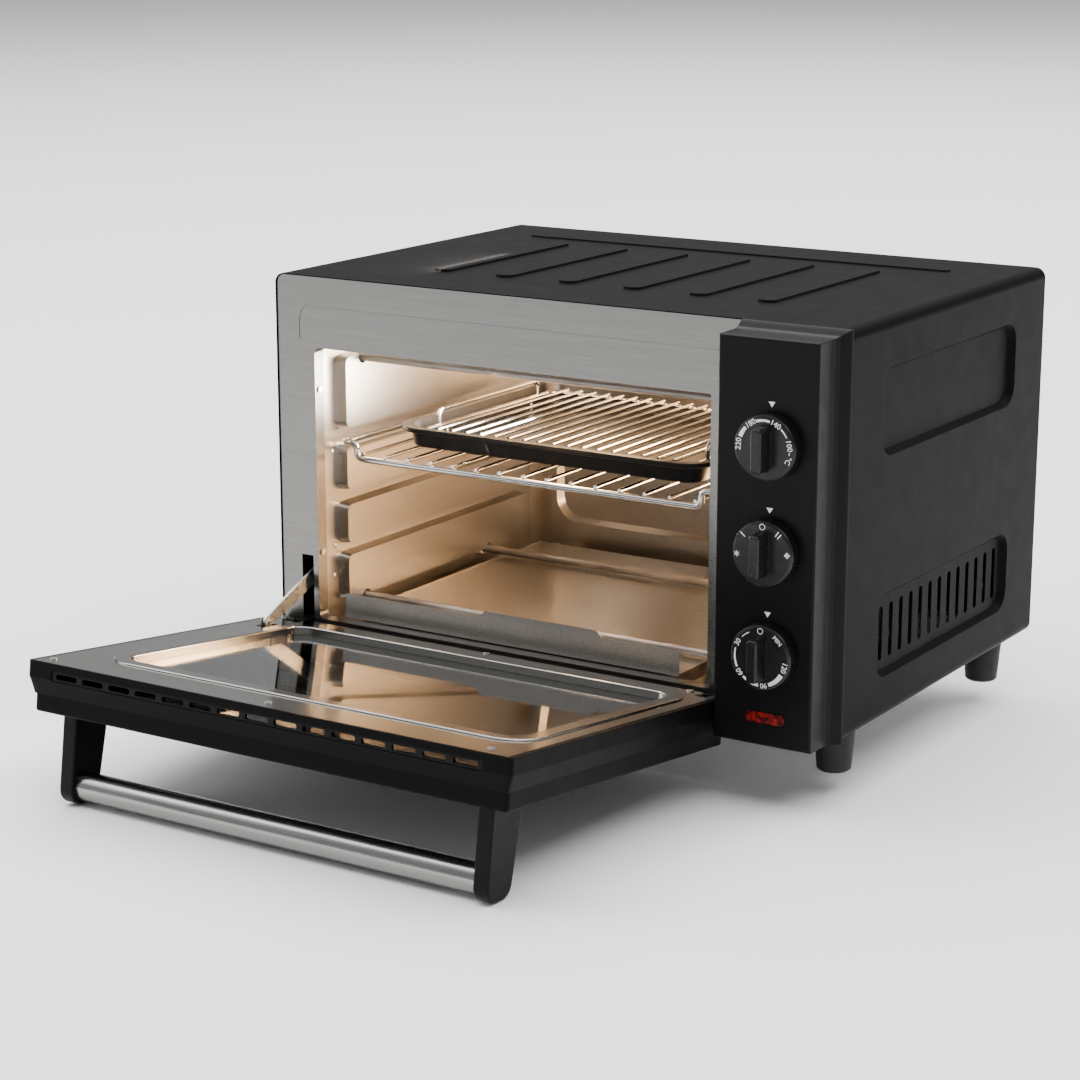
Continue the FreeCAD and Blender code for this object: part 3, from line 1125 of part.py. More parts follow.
def hinges():
    """Two fixed brackets with the hinge bore, the door's carriers and pins, and the left stay arm."""
    brackets, carriers, pins = [], [], []
    for x, wide in (("slot_left", "bracket_width"), ("lug_x", "lug_width")):
        half = f"({wide}/2)"
        lobe = rod("x", "bracket_radius", f"{x}-{half}", "hinge_y", "hinge_z", wide)
        neck = box((f"{x}-{half}", f"{x}+{half}"), ("hinge_y", "front+9"),
                   ("hinge_z-7.5", "hinge_z+bracket_crown"))
        bore = rod("x", "pin_radius+pin_fit", f"{x}-20", "hinge_y", "hinge_z", "40")
        brackets.append(cut(fuse(lobe, neck), bore))
        web_y = ("hinge_y-bracket_radius-4.5", "hinge_y-bracket_radius-2")
        plates = []
        for edge in (f"{x}-{half}-2-carrier_sheet", f"{x}+{half}+2"):
            plates.append(box((edge, f"{edge}+carrier_sheet"), (web_y[0], "door_inner-1.2"),
                              ("door_foot+7", "hinge_z+22")))
        plates.append(box((f"{x}-{half}-2-carrier_sheet", f"{x}+{half}+2+carrier_sheet"), web_y,
                          ("hinge_z+bracket_crown+3", "hinge_z+arm_pivot_along+8")))
        pin_hole = rod("x", "pin_radius", f"{x}-20", "hinge_y", "hinge_z", "40")
        tools = [pin_hole]
        if x == "slot_left":
            tab_low = "slot_left-3.2"
            plates.append(box((tab_low, f"{tab_low}+1.6"), (web_y[0], "door_inner+arm_pivot_rise+3"),
                              ("hinge_z+arm_pivot_along-6", "hinge_z+arm_pivot_along+6")))
            tools.append(rod("x", "rivet_radius", f"{x}-20", "door_inner+arm_pivot_rise",
                             "hinge_z+arm_pivot_along", "40"))
        carriers.append(cut(fuse(*plates), *tools))
        reach = f"({half}+2+carrier_sheet)"
        pins.append(rod("x", "pin_radius", f"{x}-{reach}", "hinge_y", "hinge_z", f"2*{reach}"))
    rivet = rod("x", "rivet_radius", "slot_left-3.6", "door_inner+arm_pivot_rise",
                "hinge_z+arm_pivot_along", "6.6")
    node("hinge_brackets", group(*brackets))
    node("hinge_carriers", swing(group(*carriers)))
    node("hinge_pins", swing(group(*pins)))
    node("arm_rivet", swing(group(rivet)))


def stay_arm():
    """The flat steel arm that holds the door: a pivot eye at the door, a spring eye inside."""
    arm = new_body("stay_arm")
    outline = sketch(arm, "YZ", "0")
    half = "arm_width/2"
    polygon(outline, [("-5.5", "-4"), ("6", "-4"), ("20", f"0-{half}"), ("arm_reach-8", f"0-{half}"),
                      ("arm_reach", "-2"), ("arm_reach", half), ("20", half), ("0-5.5", "5")])
    pad(arm, outline, "YZ", 1, "arm_sheet")
    round_body(arm, "3.5", lambda e: runs(e, "x") and e.BoundBox.Center.y < 0)
    eyes = sketch(arm, "YZ", "0")
    circle(eyes, "0", "0", "rivet_radius+pin_fit")
    circle(eyes, "arm_reach-5", "1.5", "1.2")
    pocket(arm, eyes, "YZ", 1, "arm_sheet+1")
    arm.Placement = Placement(Vector(), Rotation(Vector(1, 0, 0), number("arm_angle")))
    bind(arm, Placement__Rotation__Angle="arm_angle*1deg")
    place(arm, "slot_left", "arm_y", "arm_z")
    node("stay_arm", arm)


def door_spring():
    """The pull spring from the stay arm's tail to the side of the casing."""
    turn = math.radians(number("arm_angle"))
    reach, wire = number("arm_reach") - 5, number("spring_wire")
    coil_radius = number("spring_radius") - wire
    x = number("slot_left") - coil_radius - 0.2
    y = number("arm_y") + reach * math.cos(turn) - 1.5 * math.sin(turn) + 7
    z = number("arm_z") + reach * math.sin(turn) + 1.5 * math.cos(turn)
    helix = Part.makeHelix(1.3, 39, coil_radius)
    section = Part.Wire([Part.makeCircle(wire, Vector(coil_radius, 0, 0), Vector(0, 1, 0))])
    coil = Part.Wire(helix).makePipeShell([section], True, True)
    coil.Placement = Placement(Vector(x, y, z), Rotation(Vector(1, 0, 0), -90))
    return feature_node("door_spring", coil)


def build():
    outer_casing()
    base_plate()
    back_panel()
    feet()
    front_frame()
    cavity()
    elements()
    wire_rack()
    baking_tray()
    grill_insert()
    crumb_tray()
    fan()
    control_panel()
    controls()
    electrics()
    casing_screws()
    swing(door_shell())
    vent_strip()
    door_liner()
    door_glass()
    door_screws()
    handle()
    hinges()
    stay_arm()
    door_spring()


def check():
    """Stops if any object failed or any sub-part is not a valid solid."""
    faults = [f"{o.Name} {o.Label} {o.State}" for o in doc.Objects if {"Invalid", "Error"} & set(o.State)]
    for name, thing in nodes.items():
        shape = thing.Shape
        if shape.isNull() or not shape.isValid() or not shape.Solids:
            faults.append(f"{name} is null, not valid or not solid")
    if faults:
        raise RuntimeError("; ".join(faults))


build()
doc.recompute()
check()
os.makedirs("parts", exist_ok=True)
for name, thing in nodes.items():
    thing.Shape.exportStep(f"parts/{name}.step")
print(len(nodes), "sub-parts written")
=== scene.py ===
import json
import math

import bpy
import numpy as np
from mathutils import Matrix, Vector


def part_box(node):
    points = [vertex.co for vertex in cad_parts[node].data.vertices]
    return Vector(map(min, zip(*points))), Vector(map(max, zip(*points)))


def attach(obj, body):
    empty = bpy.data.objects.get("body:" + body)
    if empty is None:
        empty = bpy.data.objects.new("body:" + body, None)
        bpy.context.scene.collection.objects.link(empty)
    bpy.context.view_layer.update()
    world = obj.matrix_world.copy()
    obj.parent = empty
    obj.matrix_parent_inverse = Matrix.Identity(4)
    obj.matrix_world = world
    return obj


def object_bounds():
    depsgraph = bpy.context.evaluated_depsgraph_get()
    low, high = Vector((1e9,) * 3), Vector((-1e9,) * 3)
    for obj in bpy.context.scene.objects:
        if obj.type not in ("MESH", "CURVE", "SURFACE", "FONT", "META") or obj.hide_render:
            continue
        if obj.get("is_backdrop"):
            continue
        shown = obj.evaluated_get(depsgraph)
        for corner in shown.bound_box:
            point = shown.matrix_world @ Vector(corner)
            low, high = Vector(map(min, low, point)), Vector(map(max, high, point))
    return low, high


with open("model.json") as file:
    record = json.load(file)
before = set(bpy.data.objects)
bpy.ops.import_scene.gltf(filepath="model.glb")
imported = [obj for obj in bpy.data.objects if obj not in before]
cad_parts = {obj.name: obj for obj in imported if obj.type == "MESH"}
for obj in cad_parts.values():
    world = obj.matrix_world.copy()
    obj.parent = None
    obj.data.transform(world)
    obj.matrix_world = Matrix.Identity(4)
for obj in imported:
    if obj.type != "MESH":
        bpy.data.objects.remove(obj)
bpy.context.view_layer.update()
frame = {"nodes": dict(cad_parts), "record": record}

MM = 0.001


# ---- finishes

class Finish:
    """A material under construction, with short calls for the few shader nodes used here."""

    def __init__(self, name, colour, roughness, metallic=0.0, specular=0.5):
        self.material = bpy.data.materials.new(name)
        self.material.use_nodes = True
        self.nodes = self.material.node_tree.nodes
        self.links = self.material.node_tree.links
        self.shader = self.nodes["Principled BSDF"]
        self.fix("Base Color", (*colour, 1))
        self.fix("Roughness", roughness)
        self.fix("Metallic", metallic)
        self.fix("Specular IOR Level", specular)
        self.place = self.nodes.new("ShaderNodeTexCoord").outputs["Object"]

    def fix(self, socket, amount):
        self.shader.inputs[socket].default_value = amount

    def stretched(self, scale):
        """Object coordinates multiplied by one factor per axis."""
        mapping = self.nodes.new("ShaderNodeMapping")
        mapping.inputs["Scale"].default_value = scale
        self.links.new(self.place, mapping.inputs["Vector"])
        return mapping.outputs["Vector"]

    def noise(self, scale, detail=3.0, roughness=0.5):
        """Smooth cloud noise; scale is the number of cells per metre along each axis."""
        texture = self.nodes.new("ShaderNodeTexNoise")
        texture.inputs["Scale"].default_value = 1.0
        texture.inputs["Detail"].default_value = detail
        texture.inputs["Roughness"].default_value = roughness
        self.links.new(self.stretched(scale), texture.inputs["Vector"])
        return texture.outputs["Fac"]

    def spread(self, driver, low, high, start=0.3, end=0.7):
        """Maps a pattern that mostly runs from start to end onto low to high."""
        ramp = self.nodes.new("ShaderNodeMapRange")
        limits = {"From Min": start, "From Max": end, "To Min": low, "To Max": high}
        for socket, amount in limits.items():
            ramp.inputs[socket].default_value = amount
        self.links.new(driver, ramp.inputs["Value"])
        return ramp.outputs["Result"]

    def tint(self, driver, dark, light, start=0.3, end=0.7):
        """Colour that runs from dark to light with a pattern."""
        mix = self.nodes.new("ShaderNodeMix")
        mix.data_type = "RGBA"
        self.links.new(self.spread(driver, 0, 1, start, end), mix.inputs["Factor"])
        mix.inputs["A"].default_value = (*dark, 1)
        mix.inputs["B"].default_value = (*light, 1)
        self.links.new(mix.outputs["Result"], self.shader.inputs["Base Color"])

    def vary(self, socket, driver, low, high, start=0.3, end=0.7):
        self.links.new(self.spread(driver, low, high, start, end), self.shader.inputs[socket])

    def relief(self, height, depth, edge=0.0):
        """Fine surface relief of a depth in metres, over edges eased to a radius."""
        bump = self.nodes.new("ShaderNodeBump")
        bump.inputs["Distance"].default_value = depth
        bump.inputs["Strength"].default_value = 1.0
        self.links.new(height, bump.inputs["Height"])
        if edge:
            ease = self.nodes.new("ShaderNodeBevel")
            ease.samples = 4
            ease.inputs["Radius"].default_value = edge
            self.links.new(ease.outputs["Normal"], bump.inputs["Normal"])
        self.links.new(bump.outputs["Normal"], self.shader.inputs["Normal"])


def powder_coat():
    """Satin black powder coat: fine orange peel, a little cloudiness in the sheen."""
    f = Finish("casing powder coat", (0.004, 0.004, 0.0042), 0.42, specular=0.025)
    f.tint(f.noise((700, 700, 700), 3), (0.0034, 0.0034, 0.0036), (0.0048, 0.0048, 0.005))
    f.vary("Roughness", f.noise((60, 60, 60), 5), 0.38, 0.44)
    f.relief(f.noise((1500, 1500, 1500), 2), 0.000012, 0.0007)
    return f.material


def moulded_black():
    """Black moulded plastic with a fine spark-eroded grain."""
    f = Finish("panel black moulding", (0.0035, 0.0035, 0.0037), 0.36, specular=0.1)
    f.tint(f.noise((600, 600, 600), 3), (0.003, 0.003, 0.0032), (0.0042, 0.0042, 0.0044))
    f.vary("Roughness", f.noise((90, 90, 90), 4), 0.33, 0.4)
    f.relief(f.noise((2400, 2400, 2400), 2), 0.00001, 0.0009)
    return f.material


def dial_black():
    """The dials' smoother black moulding."""
    f = Finish("dial black moulding", (0.004, 0.004, 0.0042), 0.3, specular=0.3)
    f.tint(f.noise((500, 500, 500), 3), (0.0034, 0.0034, 0.0036), (0.005, 0.005, 0.0052))
    f.vary("Roughness", f.noise((140, 140, 140), 4), 0.25, 0.36)
    f.relief(f.noise((2600, 2600, 2600), 2), 0.000006, 0.0006)
    return f.material


def door_paint():
    """The door's black paint, a touch glossier than the casing."""
    f = Finish("door black paint", (0.003, 0.003, 0.0032), 0.34, specular=0.04)
    f.tint(f.noise((650, 650, 650), 3), (0.0026, 0.0026, 0.0028), (0.0038, 0.0038, 0.004))
    f.vary("Roughness", f.noise((70, 70, 70), 4), 0.3, 0.42)
    f.relief(f.noise((1700, 1700, 1700), 2), 0.00001, 0.0007)
    return f.material


def brushed(name, colour, lengthwise, roughness=0.3, depth=0.000006):
    """Brushed steel: hair-fine scratches drawn out along one axis of the row frame."""
    f = Finish(name, colour, roughness, metallic=1.0)
    fine = tuple(22 if i == lengthwise else 2600 for i in range(3))
    broad = tuple(6 if i == lengthwise else 260 for i in range(3))
    dark = tuple(c * 0.96 for c in colour)
    light = tuple(min(1, c * 1.03) for c in colour)
    f.tint(f.noise(broad, 4), dark, light)
    f.vary("Roughness", f.noise(fine, 3), roughness - 0.07, roughness + 0.09)
    f.relief(f.noise(fine, 3), depth)
    return f.material


def aluminised_sheet():
    """Hot-dip aluminised steel: a fine bright speckle over a satin sheen."""
    f = Finish("aluminised sheet", (0.50, 0.48, 0.45), 0.3, metallic=1.0)
    f.tint(f.noise((1300, 1300, 1300), 2), (0.44, 0.42, 0.39), (0.55, 0.53, 0.50))
    f.vary("Roughness", f.noise((1700, 1700, 1700), 2), 0.26, 0.33)
    f.relief(f.noise((2200, 2200, 2200), 2), 0.0000006)
    return f.material


def bright_liner():
    """The door's inner panel: bright-rolled steel, nearly a mirror, with faint rolling streaks."""
    f = Finish("bright rolled steel", (0.34, 0.335, 0.32), 0.15, metallic=1.0)
    f.tint(f.noise((9, 900, 900), 3), (0.325, 0.32, 0.305), (0.36, 0.355, 0.34))
    f.vary("Roughness", f.noise((30, 1500, 1500), 2), 0.14, 0.18)
    f.relief(f.noise((30, 1500, 1500), 2), 0.0000003)
    return f.material


def plated_steel():
    """Zinc-plated steel with a slightly mottled shine."""
    f = Finish("zinc plated steel", (0.55, 0.55, 0.545), 0.33, metallic=1.0)
    f.tint(f.noise((160, 160, 160), 4), (0.48, 0.48, 0.475), (0.62, 0.62, 0.61))
    f.vary("Roughness", f.noise((300, 300, 300), 4), 0.25, 0.42)
    f.relief(f.noise((1200, 1200, 1200), 3), 0.000005)
    return f.material


def chromed_wire():
    """Bright plated wire with faint drawing marks."""
    f = Finish("chromed wire", (0.52, 0.51, 0.50), 0.15, metallic=1.0)
    f.tint(f.noise((80, 80, 80), 3), (0.46, 0.45, 0.44), (0.58, 0.57, 0.56))
    f.vary("Roughness", f.noise((500, 500, 500), 4), 0.1, 0.2)
    f.relief(f.noise((1800, 1800, 1800), 2), 0.000001)
    return f.material


def black_enamel():
    """Glossy black vitreous enamel with tiny waves and pale flecks."""
    f = Finish("black enamel", (0.005, 0.005, 0.0052), 0.38, specular=0.18)
    f.tint(f.noise((1100, 1100, 1100), 4), (0.004, 0.004, 0.0042), (0.012, 0.012, 0.0125), 0.5, 0.75)
    f.vary("Roughness", f.noise((120, 120, 120), 4), 0.32, 0.44)
    f.relief(f.noise((400, 400, 400), 3), 0.000004)
    return f.material


def heater_sheath():
    """Annealed heating rod: dull grey metal with brown heat bands."""
    f = Finish("annealed sheath", (0.30, 0.28, 0.26), 0.45, metallic=0.9)
    f.tint(f.noise((18, 90, 90), 4), (0.20, 0.17, 0.15), (0.42, 0.40, 0.38))
    f.vary("Roughness", f.noise((300, 300, 300), 4), 0.36, 0.56)
    f.relief(f.noise((900, 900, 900), 3), 0.00001)
    return f.material


def ceramic_white():
    f = Finish("ceramic", (0.80, 0.78, 0.72), 0.5)
    f.tint(f.noise((200, 200, 200), 4), (0.72, 0.70, 0.64), (0.86, 0.84, 0.78))
    f.vary("Roughness", f.noise((300, 300, 300), 3), 0.42, 0.6)
    f.relief(f.noise((900, 900, 900), 3), 0.00001)
    return f.material


def switch_moulding():
    f = Finish("switch moulding", (0.62, 0.61, 0.57), 0.45)
    f.tint(f.noise((40, 40, 40), 3), (0.57, 0.56, 0.52), (0.67, 0.66, 0.62))
    f.vary("Roughness", f.noise((200, 200, 200), 3), 0.38, 0.52)
    f.relief(f.noise((1400, 1400, 1400), 2), 0.000008)
    return f.material


def clear_glass():
    """Clear toughened glass, faintly grey, with the slightest waviness."""
    f = Finish("clear glass", (0.94, 0.96, 0.95), 0.02)
    f.fix("Transmission Weight", 1.0)
    f.fix("IOR", 1.5)
    f.vary("Roughness", f.noise((30, 30, 30), 3), 0.01, 0.035)
    f.relief(f.noise((14, 14, 14), 2), 0.00001)
    return f.material


def smoked_glass():
    """The outer pane: glass behind a near-black coat."""
    f = Finish("smoked glass", (0.012, 0.012, 0.013), 0.05, specular=0.6)
    f.tint(f.noise((20, 20, 20), 3), (0.010, 0.010, 0.011), (0.014, 0.014, 0.015))
    f.vary("Roughness", f.noise((40, 40, 40), 3), 0.03, 0.08)
    f.relief(f.noise((12, 12, 12), 2), 0.00001)
    return f.material


def red_lens():
    f = Finish("red lens", (0.05, 0.002, 0.002), 0.15, specular=0.3)
    f.tint(f.noise((260, 260, 260), 3), (0.018, 0.001, 0.001), (0.22, 0.006, 0.005), 0.42, 0.66)
    f.vary("Roughness", f.noise((300, 300, 300), 3), 0.1, 0.22)
    f.relief(f.noise((700, 700, 700), 2), 0.00001)
    f.fix("Coat Weight", 0.2)
    return f.material


def white_print():
    f = Finish("white print", (0.82, 0.82, 0.80), 0.5)
    f.tint(f.noise((600, 600, 600), 3), (0.74, 0.74, 0.72), (0.87, 0.87, 0.85))
    f.vary("Roughness", f.noise((500, 500, 500), 3), 0.42, 0.58)
    f.relief(f.noise((1500, 1500, 1500), 2), 0.000005)
    return f.material


def foot_rubber():
    f = Finish("foot moulding", (0.012, 0.012, 0.012), 0.6, specular=0.3)
    f.tint(f.noise((50, 50, 50), 3), (0.009, 0.009, 0.009), (0.016, 0.016, 0.016))
    f.vary("Roughness", f.noise((200, 200, 200), 4), 0.52, 0.7)
    f.relief(f.noise((1200, 1200, 1200), 3), 0.00002, 0.0006)
    return f.material


STEEL = (0.19, 0.188, 0.182)
FINISHES = {
    "casing_black": powder_coat(),
    "panel_black": moulded_black(),
    "knob_black": dial_black(),
    "bracket_black": door_paint(),
    "frame_steel": brushed("brushed frame steel", STEEL, 0),
    "handle_steel": brushed("brushed bar steel", (0.30, 0.298, 0.29), 0, 0.24, 0.00001),
    "shaft_steel": brushed("turned shaft steel", (0.55, 0.55, 0.55), 1, 0.3),
    "spring_steel": brushed("spring wire", (0.45, 0.45, 0.46), 1, 0.3),
    "aluminised": aluminised_sheet(),
    "plain_steel": plated_steel(),
    "chrome_wire": chromed_wire(),
    "enamel": black_enamel(),
    "element_sheath": heater_sheath(),
    "ceramic": ceramic_white(),
    "switch_body": switch_moulding(),
    "glass": clear_glass(),
    "lamp_red": red_lens(),
    "foot_black": foot_rubber(),
}
PRINT = white_print()
NODE_FINISHES = {"outer_glass": smoked_glass(), "door_inner_panel": bright_liner()}


def finish_cad_nodes():
    """Every CAD node gets its own finish if it has one, and the finish of its record slot otherwise."""
    for part in frame["record"]["subparts"]:
        mesh = frame["nodes"][part["node"]].data
        mesh.materials.clear()
        mesh.materials.append(NODE_FINISHES.get(part["node"], FINISHES[part["material_slot"]]))


# ---- new pieces

def as_piece(name, points, faces, body, slot, material, smooth=True):
    """A mesh in the row frame from an (n, 3) array and an index array, riding on a body."""
    mesh = bpy.data.meshes.new(name)
    mesh.from_pydata(points.tolist(), [], [list(map(int, f)) for f in faces])
    mesh.update()
    mesh.polygons.foreach_set("use_smooth", [smooth] * len(mesh.polygons))
    mesh.materials.append(material)
    piece = bpy.data.objects.new(name, mesh)
    bpy.context.scene.collection.objects.link(piece)
    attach(piece, body)
    return piece


def join(shells):
    """Stacks (points, faces) shells into one pair."""
    starts = np.cumsum([0] + [len(p) for p, _ in shells])
    faces = [f + s for (_, group), s in zip(shells, starts) for f in group]
    return np.vstack([p for p, _ in shells]), faces


def grid_faces(rows, columns, close_rows, close_columns):
    """Quads of a rows x columns grid of points, optionally wrapped round in either direction."""
    i, j = np.meshgrid(np.arange(rows if close_rows else rows - 1),
                       np.arange(columns if close_columns else columns - 1), indexing="ij")
    i2, j2 = (i + 1) % rows, (j + 1) % columns
    quads = np.stack([i * columns + j, i2 * columns + j, i2 * columns + j2, i * columns + j2], -1)
    return list(quads.reshape(-1, 4))


def slab(outline, thickness, place):
    """A flat closed plate: a counter-clockwise outline at height 0 and again at the thickness."""
    count = len(outline)
    low = np.column_stack([outline, np.zeros(count)])
    high = np.column_stack([outline, np.full(count, thickness)])
    ring = np.arange(count)
    sides = np.stack([ring, (ring + 1) % count, (ring + 1) % count + count, ring + count], -1)
    faces = [ring[::-1], ring + count] + list(sides)
    return place(np.vstack([low, high])), faces


def band(start, end, radius, wide_start, wide_end, steps=28):
    """Outline of an arc stroke: (radius ± half width) x (sin t, cos t), t clockwise from the top."""
    turn = np.radians(np.linspace(start, end, steps))
    half = np.linspace(wide_start, wide_end, steps) / 2
    outer = np.column_stack([(radius + half) * np.sin(turn), (radius + half) * np.cos(turn)])
    inner = np.column_stack([(radius - half) * np.sin(turn), (radius - half) * np.cos(turn)])
    loop = np.vstack([inner, outer[::-1]])
    area = np.sum(loop[:, 0] * np.roll(loop[:, 1], -1) - loop[:, 1] * np.roll(loop[:, 0], -1))
    return loop if area > 0 else loop[::-1]


def disc(centre, radius, steps=28):
    """Outline of a full circle."""
    turn = np.linspace(0, 2 * math.pi, steps, endpoint=False)
    return np.column_stack([centre[0] + radius * np.cos(turn), centre[1] + radius * np.sin(turn)])


def lettering(text, size):
    """Points and faces of a centred word, its strokes extruded by the print's thickness."""
    curve = bpy.data.curves.new("word", "FONT")
    curve.body, curve.size = text, size
    curve.align_x, curve.align_y = "CENTER", "CENTER"
    curve.extrude = PRINT_THICK / 2
    curve.resolution_u = 3
    maker = bpy.data.objects.new("word", curve)
    bpy.context.scene.collection.objects.link(maker)
    mesh = bpy.data.meshes.new_from_object(maker.evaluated_get(bpy.context.evaluated_depsgraph_get()))
    points = np.array([v.co for v in mesh.vertices]).reshape(-1, 3) + (0, 0, PRINT_THICK / 2)
    faces = [np.array(p.vertices) for p in mesh.polygons]
    bpy.data.objects.remove(maker)
    bpy.data.curves.remove(curve)
    bpy.data.meshes.remove(mesh)
    return points, faces


RIM_RADIUS, RIM_CORNER, RIM_SIDES = 2.1 * MM, 22 * MM, 12
WALL_INSET = 28 * MM
RIVET_RADIUS, RIVET_RISE, RIVET_SINK = 2.6 * MM, 1.1 * MM, 0.1 * MM
RIVET_RINGS, RIVET_SIDES = 6, 20
RIVET_PLACES = [(-135.3, 107.3), (-136.6, 182.9), (-137.0, 82.8), (-134.7, 46.4), (-118.9, 46.7)]


def tray_rim():
    """The tray's rolled rim: a circle carried round a rounded rectangle at the tray's edge.

    Path point = corner centre + corner radius x (cos t, sin t), t through a quarter turn at each corner.
    Rim point = path point + rim radius x (cos u outwards, sin u upwards).
    """
    low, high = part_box("baking_tray")
    turn = np.linspace(0, math.pi / 2, 17)
    way = np.concatenate([turn + k * math.pi / 2 for k in range(4)])
    side_x = np.repeat([1, -1, -1, 1], len(turn))
    side_y = np.repeat([1, 1, -1, -1], len(turn))
    half_x, half_y = (high.x - low.x) / 2 - RIM_RADIUS, (high.y - low.y) / 2 - RIM_RADIUS
    path_x = (high.x + low.x) / 2 + side_x * (half_x - RIM_CORNER) + RIM_CORNER * np.cos(way)
    path_y = (high.y + low.y) / 2 + side_y * (half_y - RIM_CORNER) + RIM_CORNER * np.sin(way)
    around_rim = np.linspace(0, 2 * math.pi, RIM_SIDES, endpoint=False)[None, :]
    out_x, out_y = np.cos(way)[:, None], np.sin(way)[:, None]
    points = np.stack([path_x[:, None] + RIM_RADIUS * np.cos(around_rim) * out_x,
                       path_y[:, None] + RIM_RADIUS * np.cos(around_rim) * out_y,
                       high.z - RIM_RADIUS + RIM_RADIUS * np.sin(around_rim) + 0 * out_x], -1)
    faces = grid_faces(len(way), RIM_SIDES, True, True)
    as_piece("tray_rim", points.reshape(-1, 3), faces, "tray", "enamel", FINISHES["enamel"])


def wall_rivets():
    """Domed rivet heads on the left wall: radius R sin t and rise H cos t, t from the rim to the crown."""
    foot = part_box("outer_casing")[0].x + WALL_INSET - RIVET_SINK
    tilt = np.linspace(math.pi / 2, 0, RIVET_RINGS + 1)[:-1, None]
    turn = np.linspace(0, 2 * math.pi, RIVET_SIDES, endpoint=False)[None, :]
    ring = np.arange(RIVET_SIDES)
    last, crown_index = (RIVET_RINGS - 1) * RIVET_SIDES, RIVET_RINGS * RIVET_SIDES
    sides = [f[::-1] for f in grid_faces(RIVET_RINGS, RIVET_SIDES, False, True)]
    cap = np.stack([last + ring, last + (ring + 1) % RIVET_SIDES, np.full(RIVET_SIDES, crown_index)], -1)
    faces = sides + list(cap) + [ring[::-1]]
    shells = []
    for y, z in RIVET_PLACES:
        dome = np.stack([foot + RIVET_RISE * np.cos(tilt) + 0 * turn,
                         y * MM + RIVET_RADIUS * np.sin(tilt) * np.cos(turn),
                         z * MM + RIVET_RADIUS * np.sin(tilt) * np.sin(turn)], -1).reshape(-1, 3)
        crown = np.array([[foot + RIVET_RISE, y * MM, z * MM]])
        shells.append((np.vstack([dome, crown]), faces))
    as_piece("wall_rivets", *join(shells), "cabinet", "plain_steel", FINISHES["plain_steel"])


PRINT_THICK = 0.12 * MM
RING_LINE = 0.42 * MM
DIAL_RADIUS = 19.3 * MM


def front_facing(centre):
    """Lays flat drawings (x right, y up, z towards the viewer) on a plane that faces the front."""
    return lambda p: np.column_stack([centre[0] + p[:, 0], centre[1] - p[:, 2], centre[2] + p[:, 1]])


def around(angle, radius, points):
    """Moves a drawing out to a clockwise angle from the top, its upper side outwards."""
    a = math.radians(angle)
    x, y = points[:, 0], points[:, 1] + radius
    return np.column_stack([x * math.cos(a) + y * math.sin(a),
                            -x * math.sin(a) + y * math.cos(a), points[:, 2]])


def dial_marks(name, node, body, words, strokes, rings=()):
    """The printed scale on one dial: words, arc strokes and small rings, just proud of its face."""
    low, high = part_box(node)
    centre = ((low.x + high.x) / 2, DIAL_FACE, (low.z + high.z) / 2)
    lay = front_facing(centre)
    shells = []
    for text, angle, size in words:
        points, faces = lettering(text, size * MM)
        shells.append((lay(around(angle, DIAL_RADIUS, points)), faces))
    for start, end, radius, wide_start, wide_end in strokes:
        stroke = band(start, end, radius * MM, wide_start * MM, wide_end * MM)
        shells.append(slab(stroke, PRINT_THICK, lay))
    for angle, size in rings:
        turn = np.radians(angle)
        middle = DIAL_RADIUS * np.array([math.sin(turn), math.cos(turn)])
        for step in range(2):
            arc = band(step * 180, step * 180 + 180, size * MM, RING_LINE, RING_LINE, 14) + middle
            shells.append(slab(arc, PRINT_THICK, lay))
    return as_piece(name, *join(shells), body, "knob_black", PRINT, smooth=False)


def line_mark(angle, low, high, width):
    """A radial line as a stroke of nearly no sweep."""
    half = math.degrees(width / 2 / ((low + high) / 2))
    return (angle - half, angle + half, (low + high) / 2, high - low, high - low)


knob_low, knob_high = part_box("temperature_knob")
GRIP_PROUD, GRIP_SINK = 13 * MM, 0.2 * MM
DIAL_FACE = knob_low.y + GRIP_PROUD - GRIP_SINK


def dials():
    """Each word has its clockwise angle and size; each stroke its two angles, radius and two widths."""
    dial_marks("temperature_marks", "temperature_knob", "temperature_dial",
               [("220", -86, 5.6), ("180", -33, 5.6), ("140", 26, 5.6), ("100", 78, 5.6),
                ("°C", 109, 5.4)],
               [(-70, -47, 19.3, 3.2, 2.4), (-19, 12, 19.3, 1.9, 1.4), (41, 62, 19.3, 1.0, 0.6),
                (93, 98, 19.3, 0.6, 0.5)])
    bars = [line_mark(angle, 17.0, 21.4, 0.7) for angle in (-50, 36, 43)]
    dial_marks("function_marks", "function_knob", "function_dial", [], bars, [(0, 2.0)])
    dial_marks("timer_marks", "timer_knob", "timer_dial",
               [("30", -62, 5.4), ("60", -128, 5.4), ("90", 170, 5.4), ("120", 102, 5.4),
                ("MIN", 43, 4.4)],
               [(-46, -26, 19.3, 0.5, 0.8), (-116, -75, 19.3, 1.6, 0.9), (-178, -140, 19.3, 2.4, 1.6),
                (120, 158, 19.3, 3.4, 2.5)], [(0, 2.0)])


